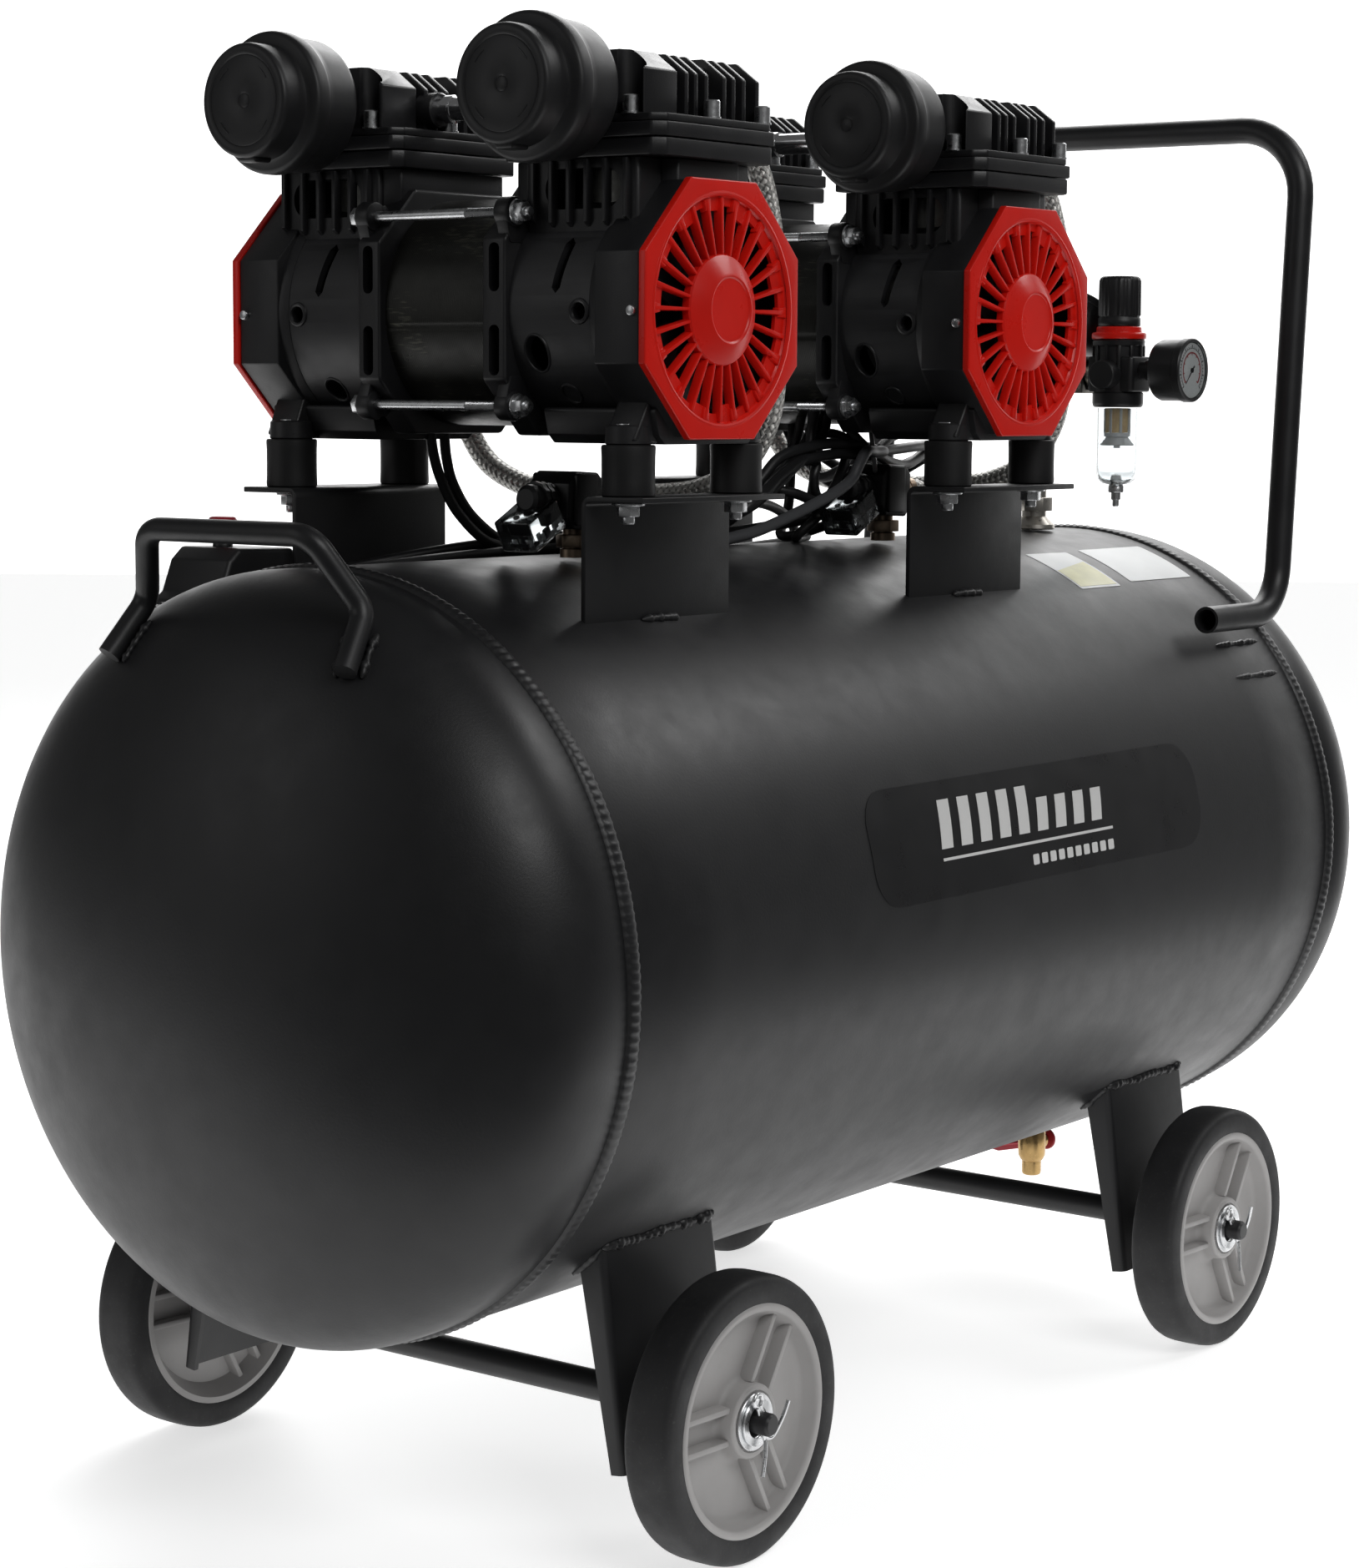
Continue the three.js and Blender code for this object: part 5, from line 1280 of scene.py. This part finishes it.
# ------------------------------------------------------------------ drain valve
dx = 336.0
dv = S()
dv.add(lathe("z", [(0, 62.3), (5.0, 62.3), (6.2, 63), (6.6, 64.5), (6.6, 72), (7.6, 73), (9.2, 76), (9.6, 84), (9.2, 92), (7.6, 95), (6.2, 96), (6.0, 106.4), (0, 106.4)], 36, (dx, 0, 0)))
dv.add(hexnut("z", 16, 93, 101, (dx, 0, 0)))
dv.add(lathe("x", [(0, 6), (5.4, 6), (5.4, 12.5), (4.2, 13), (3.0, 13), (3.0, 17.5), (0, 17.5)], 28, (dx, 0, 84)))
dv.add(lathe("z", [(0, 101), (9.5, 101), (10.5, 103), (10.5, 106.8), (0, 107.4)], 36, (dx, 0, 0)))
emit("drain_valve_brass", dv, BRASS, rep="drain_valve_body", slot="brass_fittings")
lv = S()
lv.add(lathe("x", [(0, 17.6), (6.8, 17.6), (7.4, 18.2), (7.4, 19.4), (6.6, 20.0), (0, 20.0)], 34, (dx, 0, 84)))
lv.add(prism("x", rnd_poly([(2, 79.5), (40, 78.8), (46, 81), (46, 87), (40, 88.2), (2, 87.5)], 3.0, 5), dx + 17.5, dx + 19.7, 0.7, 2))
lv.add(tube([(dx + 18.6, 9, 83.5), (dx + 18.6, 20, 83.5), (dx + 18.6, 32, 83.5), (dx + 18.6, 44.5, 83.8)], lambda q, ln: 3.4 - 0.2 * q, 16, flat=0.5))
lv = lv.mat(Matrix.Translation((0, 0, 84)) @ Matrix.Rotation(math.radians(-13), 4, "X") @ Matrix.Translation((0, 0, -84)))
emit("drain_valve_grip", lv, LEVER, body="drain_valve_lever", rep="drain_valve_lever", slot="lever_vinyl")
emit("drain_stem_nut", S().add(hexnut("x", 7, dx + 20.1, dx + 23.0, (0, 0, 84)), cyl("x", 1.9, dx + 17, dx + 24.4, (0, 0, 84), 20, 0.4)), ZINC, body="drain_valve_lever", slot="zinc_steel")

# ------------------------------------------------------------------ pressure switch
px_, py_ = -305.0, 132.0
ps = S()
ps.add(prism("y", rnd_poly([(px_ - 37, 463), (px_ + 33, 463), (px_ + 34, 496), (px_ + 26, 510.5), (px_ - 16, 511.5), (px_ - 24, 505), (px_ - 31, 488), (px_ - 38, 483)], 3.5, 4), py_ - 23, py_ + 23, 3.0, 4))
ps.add(ring("y", 3.0, 5.0, py_ - 24.0, py_ - 22.5, (px_ + 20, 0, 492), 30, 0.4))
ps.add(prism("y", rnd_poly([(px_ - 30, 468), (px_ + 28, 468), (px_ + 28, 473), (px_ - 30, 473)], 1.5, 3), py_ - 24, py_ + 24, 0.8, 2))
for k, (gx, gy, gz) in enumerate(((px_ - 37, py_ - 9, 474), (px_ - 37, py_ + 10, 474))):
    ps.add(lathe("x", [(0, gx - 13), (5.0, gx - 13), (6.6, gx - 11.5), (7.4, gx - 7), (8.2, gx - 6.8), (8.2, gx - 1), (7.0, gx - 0.6), (7.0, gx + 4), (0, gx + 4)], 36, (0, gy, gz), rfun=lambda a, t: 1 + 0.02 * math.cos(a * 12)))
ps.add(cyl("z", 5.5, 510, 513.6, (px_ - 6, py_, 0), 36, 0.8))
emit("pressure_switch_cover", ps, BLACKP, rep="pressure_switch", slot="black_plastic")
emit("pressure_switch_stem", cyl("z", 9.0, 436, 464, (px_, py_, 0), 32, 0.8).add(hexnut("z", 19, 450, 460, (px_, py_, 0))), ZINC, slot="zinc_steel")
kb = lathe("z", [(0, 515.4), (3.2, 515.4), (3.4, 516.4), (7.2, 517), (8.0, 518), (8.0, 525.4), (7.0, 527.4), (5.4, 527.9), (0, 527.9)], 60, (px_ - 6, py_, 0), rfun=lambda a, t: 1 + (0.03 * math.cos(a * 16) if 517.5 < t < 526 else 0))
emit("pressure_switch_button", kb, LEVER, body="pressure_switch_knob", rep="pressure_switch_knob", slot="lever_vinyl", sharp=60)

# ------------------------------------------------------------------ name patch and stickers on the receiver
def on_shell(x, ang, lift=0.0):
    r = TR + lift
    return (x, -r * math.sin(ang), TZ + r * math.cos(ang))


def patch(outline, lift, thick=0.8, cell=6.0):
    """A thin sheet on the shell; outline is [(x, arc length from the top, towards -Y)]."""
    bm = bmesh.new()
    vs = [bm.verts.new((x, s, 0)) for x, s in outline]
    bm.faces.new(vs)
    xs = [p[0] for p in outline]
    ss = [p[1] for p in outline]
    for lo, hi, ax in ((min(ss), max(ss), 1), (min(xs), max(xs), 0)):
        t = lo + cell
        while t < hi:
            co = (0, t, 0) if ax else (t, 0, 0)
            no = (0, 1, 0) if ax else (1, 0, 0)
            bmesh.ops.bisect_plane(bm, geom=bm.verts[:] + bm.edges[:] + bm.faces[:], plane_co=co, plane_no=no)
            t += cell if ax else cell * 8
    bm.verts.index_update()
    V = [tuple(v.co) for v in bm.verts]
    F = [tuple(v.index for v in f.verts) for f in bm.faces]
    B = [(e.verts[0].index, e.verts[1].index) for e in bm.edges if len(e.link_faces) == 1]
    bm.free()
    n = len(V)
    v = [on_shell(x, s / TR, lift) for x, s, _ in V] + [on_shell(x, s / TR, lift - thick) for x, s, _ in V]
    f = F + [tuple(i + n for i in reversed(q)) for q in F] + [(a, b, b + n, a + n) for a, b in B]
    return S(v, f)


def ang_of(z):
    return TR * math.acos((z - TZ) / TR)


a0, a1 = ang_of(386), ang_of(324)
emit("name_patch_film", patch(rnd_poly([(-159, a0), (200, a0), (200, a1), (-159, a1)], 22, 8), 0.22), DECAL, slot="powder_coat", sharp=60)
g = S()
# generic mark: slanted bars over a rule, with short dashes below it
for k in range(9):
    x = -92 + k * 20.2
    hgt = 27 if k < 5 else 19
    b0 = ang_of(376) + (27 - hgt)
    g.add(patch([(x + 5, b0), (x + 16.5, b0), (x + 11.5, b0 + hgt), (x, b0 + hgt)], 0.36, 0.5))
r0 = ang_of(376) + 32
g.add(patch([(-92, r0), (92, r0), (92, r0 + 1.6), (-92, r0 + 1.6)], 0.36, 0.5))
for k in range(10):
    x = 0 + k * 9.4
    g.add(patch(rnd_poly([(x, r0 + 7.5), (x + 6.4, r0 + 7.5), (x + 6.4, r0 + 13.5), (x, r0 + 13.5)], 1.0, 3), 0.36, 0.5))
emit("name_patch_mark", g, WHITE, slot="white_print", sharp=60)
s1 = patch(rnd_poly([(205, TR * math.asin(65 / TR)), (254, TR * math.asin(66 / TR)), (254, TR * math.asin(107 / TR)), (205, TR * math.asin(107 / TR))], 1.5, 3), 0.25)
emit("label_small", s1, STICKER, slot="white_print", sharp=60)
s2 = patch([(207, TR * math.asin(88 / TR)), (252, TR * math.asin(80 / TR)), (252, TR * math.asin(105 / TR)), (207, TR * math.asin(105 / TR))], 0.36, 0.4)
emit("label_small_field", s2, STICKER_Y, slot="white_print", sharp=60)
s3 = patch(rnd_poly([(272, TR * math.asin(64 / TR)), (352, TR * math.asin(64 / TR)), (352, TR * math.asin(104 / TR)), (272, TR * math.asin(104 / TR))], 1.5, 3), 0.25)
emit("label_large", s3, STICKER, slot="white_print", sharp=60)

# ------------------------------------------------------------------ wiring
def cable(name, pts, r=3.1, mat=CABLE, n=8):
    s = tube(smooth(pts, n), r, 16)
    return emit(name, s, mat, slot="cable_sheath", sharp=60)


cable("lead_grey", [(108, 46, 598), (124, 46, 575), (128, 42, 545), (112, 5, 553), (93.5, -30, 561.3), (65.3, -42, 561.9), (51.6, -46, 562), (42.6, -47, 554.4), (34.4, -47, 545.6), (18, -47, 538.6), (-14.4, -47, 529.2), (-57.4, -47, 518.7), (-86.6, -47, 514.7), (-150, -46, 507), (-188, -38, 514), (-205, -34, 530)], 3.4, CABLE_GREY)
cable("lead_a", [(58, -10, 582.1), (53.2, -12, 577), (41.4, -18, 568.5), (15.1, -26, 559.5), (-18.2, -34, 549.1), (-43.7, -40, 539.7), (-64.7, -40, 530.2), (-76.3, -20, 518.5), (-150, 20, 509.6), (-200, 50, 504.4), (-250, 86, 494), (-300, 108, 484), (-338, 120, 478), (-354, 123, 474)], 3.3)
cable("lead_b", [(98, -4, 590), (97.4, -6, 576.8), (88.7, -10, 571.6), (72.2, -18, 558.7), (56, -24, 546.9), (44.1, -26, 536.8), (39.3, -20, 528.2), (46.9, 0, 519.7), (-60, 30, 508.4), (-120, 56, 502.7), (-180, 76, 495.9), (-250, 104, 485), (-334, 140, 480), (-354, 143, 474)], 3.2)
cable("lead_c", [(-354, 125.8, 474), (-338, 124.2, 478), (-300, 115, 484), (-250, 93, 494), (-200, 57, 504.4), (-150, 27, 509.6), (-90, -2, 516), (-37.3, -20, 535.8), (-24.4, -24, 547.3), (-11.4, -26, 558.1), (6.2, -28, 563.4), (33.1, -30, 566.8), (51.5, -32, 566), (73.3, -34, 564.2), (84.2, -32, 562.3), (107.5, -26, 562.4), (168, -12, 564.4), (222.6, 10, 563), (170, 34, 545), (118, 44, 566), (98, 44, 592)], 3.2)
cable("lead_d", [(-354, 128.6, 474), (-338, 128.4, 478), (-300, 122, 484), (-250, 100, 494), (-200, 64, 504.4), (-150, 34, 509.6), (-90, 14, 515), (-43.9, 0, 523.7), (-31.8, -14, 533.8), (-17.3, -20, 542.9), (-4.1, -24, 551), (15.2, -28, 557.6), (36.3, -30, 560.3), (47, -32, 560.9), (57.9, -34, 560.2), (70.4, -36, 559.7), (81.2, -34, 559.8), (107.7, -26, 555), (142.3, -16, 553), (182.2, -4, 560.1), (228.9, 14, 562.2), (176, 44, 535), (124, 50, 556), (90, 48, 592)], 3.2)
cable("lead_e", [(-222, 60, 578), (-219, 60, 562), (-214, 58, 546), (-206, 52, 528), (-190, 42, 512), (-160, 30, 508.4), (-120, 18, 509.8), (-90, -4, 512), (-43, -28, 530), (-4, -24, 550), (38, -14, 572), (50, -8, 594)], 2.9)
cable("lead_f", [(-208, 62, 578), (-207, 61, 560), (-204, 58, 544), (-196, 50, 526), (-176, 40, 511), (-150, 24, 510), (-118, 4, 511), (-86, -12, 517), (-40, -34, 536), (0, -30, 553), (44, -20, 572), (56, -14, 592)], 2.9)
cable("lead_g", [(42, -18, 598), (32, -20, 576), (26.8, -22, 559.3), (31.5, -24, 554.1), (28.9, -24, 546.5), (34.7, -22, 536.1), (54.2, -16, 528.6), (40, -4, 510.6), (70, 10, 510.4), (86, 20, 520), (84, 14, 545), (80, 6, 580)], 3.0)
cable("lead_h", [(48, -8, 594), (47.1, -14, 571.4), (50.4, -18, 572.9), (56.8, -22, 571.9), (60.2, -26, 569.5), (65.2, -30, 567.2), (70.4, -36, 562.9), (81.2, -34, 561.1), (96.5, -30, 567.4), (119.7, -22, 573.3), (116, -6, 576), (110, 4, 584), (108, 6, 598)], 2.9)
cable("lead_i", [(-354, 124, 474), (-362, 120, 478), (-366, 104, 486), (-356, 88, 492), (-332, 78, 496.5), (-300, 70, 498.2), (-262, 60, 501.6), (-220, 46, 505.3), (-180, 34, 507.7), (-150, 30, 508.4), (-120, 40, 506.6), (-60, 34, 509), (0, 22, 522), (48, 8, 560), (58, 4, 590)], 3.0)
cable("lead_j", [(-354, 120.2, 474), (-338, 115.8, 478), (-300, 101, 484), (-250, 79, 494.6), (-200, 43, 506), (-150, 13, 510.2), (-100, -14, 517), (-67.8, -30, 530), (-27.6, -12, 532.4), (16.3, 6, 531.1), (53.9, 20, 526), (80.4, 30, 518.9), (100.2, 40, 510.9), (112.7, 52, 503.8), (-62, 84, 492.5), (-120, 100, 484.3), (-200, 112, 478), (-300, 140, 470), (-330, 148, 466)], 3.1)
cable("lead_k", [(-354, 124.2, 477), (-338, 121.8, 484), (-300, 111, 490), (-250, 89, 500), (-200, 53, 510.4), (-150, 23, 515.6), (-80, 0, 522), (-20.6, -10, 536.9), (-0.1, -14, 540), (6.1, -18, 538.9), (15.2, -22, 536.9), (28.1, -24, 532.8), (48.4, -20, 528.8), (84.4, -6, 520.6), (60, 20, 509.6), (80, 30, 530), (84, 30, 590)], 3.1)
cable("lead_l", [(60, -14, 592), (62, -30, 572), (74.3, -36, 561.6), (84.3, -34, 564.3), (101.3, -30, 569.6), (124.7, -24, 574.2), (124, -10, 577), (118, 2, 586), (116, 4, 602)], 2.9)
tie = tube([(74.3 + 6.0 * math.cos(a) - 2.5 * math.sin(a), -36 + 10.0 * math.cos(a) * 0.4, 561.6 + 11.5 * math.sin(a)) for a in [2 * math.pi * k / 28 for k in range(28)]], 1.5, 8, closed=True, flat=1.0)
emit("cable_tie", tie, TIE, slot="white_print", sharp=60)

# ------------------------------------------------------------------ camera
F_PX, W_PX, H_PX = 4015.3, 1629.0, 1879.0
yaw, pitch, roll = 0.6459, -0.1155, 0.0064
d = Vector((math.cos(pitch) * math.cos(yaw), math.cos(pitch) * math.sin(yaw), math.sin(pitch)))
right = d.cross(Vector((0, 0, 1))).normalized()
upv = right.cross(d)
r2 = right * math.cos(roll) + upv * math.sin(roll)
u2 = -right * math.sin(roll) + upv * math.cos(roll)
cd = bpy.data.cameras.new("camera")
cam = bpy.data.objects.new("camera", cd)
scene.collection.objects.link(cam)
cam.matrix_world = Matrix.Translation((-1.6226, -1.1698, 0.5950)) @ Matrix((r2, u2, -d)).transposed().to_4x4()
cd.sensor_fit = "AUTO"
cd.sensor_width = 36.0
cd.lens = F_PX * 36.0 / H_PX
cd.clip_start, cd.clip_end = 0.05, 60
scene.camera = cam

# ------------------------------------------------------------------ floor, backdrop, light
def stage_mat(name, col, rough, emit_=0.0):
    m = bpy.data.materials.new(name)
    m.use_nodes = True
    b = m.node_tree.nodes["Principled BSDF"]
    b.inputs["Base Color"].default_value = (*col, 1)
    b.inputs["Roughness"].default_value = rough
    b.inputs["Specular IOR Level"].default_value = 0.2
    b.inputs["Emission Color"].default_value = (1, 1, 1, 1)
    b.inputs["Emission Strength"].default_value = emit_
    return m


fl = bpy.data.meshes.new("floor")
# the sweep's front edge lies square to the view, 0.2 m this side of the nearest wheel
fx, fy = Vector((math.cos(yaw), math.sin(yaw), 0)), Vector((-math.sin(yaw), math.cos(yaw), 0))
fl.from_pydata([tuple(fx * a + fy * c) for a, c in ((-0.66, -0.62), (9, -3.3), (9, 6), (-0.66, 1.6))], [], [(0, 1, 2, 3)])
fo = bpy.data.objects.new("floor", fl)
fl.materials.append(stage_mat("floor_white", (0.94, 0.94, 0.94), 0.6, 0.66))
scene.collection.objects.link(fo)

w = bpy.data.worlds.new("studio")
scene.world = w
w.use_nodes = True
wn, wl_ = w.node_tree.nodes, w.node_tree.links
bg = wn["Background"]
tc = wn.new("ShaderNodeTexCoord")
sp = wn.new("ShaderNodeSeparateXYZ")
wl_.new(tc.outputs["Generated"], sp.inputs[0])
# bright backdrop beyond the machine, dim room on the camera's side
dotn = wn.new("ShaderNodeVectorMath")
dotn.operation = "DOT_PRODUCT"
dotn.inputs[1].default_value = (math.cos(0.47), math.sin(0.47), 0.0)
wl_.new(tc.outputs["Generated"], dotn.inputs[0])
mr = wn.new("ShaderNodeMapRange")
mr.interpolation_type = "SMOOTHSTEP"
mr.inputs["From Min"].default_value = 0.64
mr.inputs["From Max"].default_value = 0.93
mr.inputs["To Min"].default_value = 0.085
mr.inputs["To Max"].default_value = 1.8
wl_.new(dotn.outputs["Value"], mr.inputs["Value"])
wl_.new(mr.outputs["Result"], bg.inputs["Strength"])
bg.inputs["Color"].default_value = (1, 1, 1, 1)


def softbox(name, loc, target, sx, sy, power, spread=180):
    ld = bpy.data.lights.new(name, "AREA")
    ld.shape = "RECTANGLE"
    ld.size, ld.size_y = sx, sy
    ld.energy = power
    ld.spread = math.radians(spread)
    o = bpy.data.objects.new(name, ld)
    scene.collection.objects.link(o)
    o.location = loc
    o.rotation_mode = "QUATERNION"
    o.rotation_quaternion = (Vector(target) - Vector(loc)).to_track_quat("-Z", "Y")
    return o


softbox("key_top", (2.3, 1.15, 2.5), (0.25, 0, 0.5), 2.4, 1.5, 42)
softbox("left_box", (-2.7, 1.3, 1.5), (-0.3, 0, 0.4), 1.4, 2.0, 5)
softbox("right_box", (2.5, -1.5, 2.9), (0.3, 0, 0.5), 1.6, 1.0, 26)
softbox("camera_fill", (-1.2, -2.8, 2.7), (0, 0, 0.5), 2.0, 1.4, 40)

scene.view_settings.view_transform = "Standard"
scene.view_settings.look = "None"
scene.view_settings.exposure = 0.0
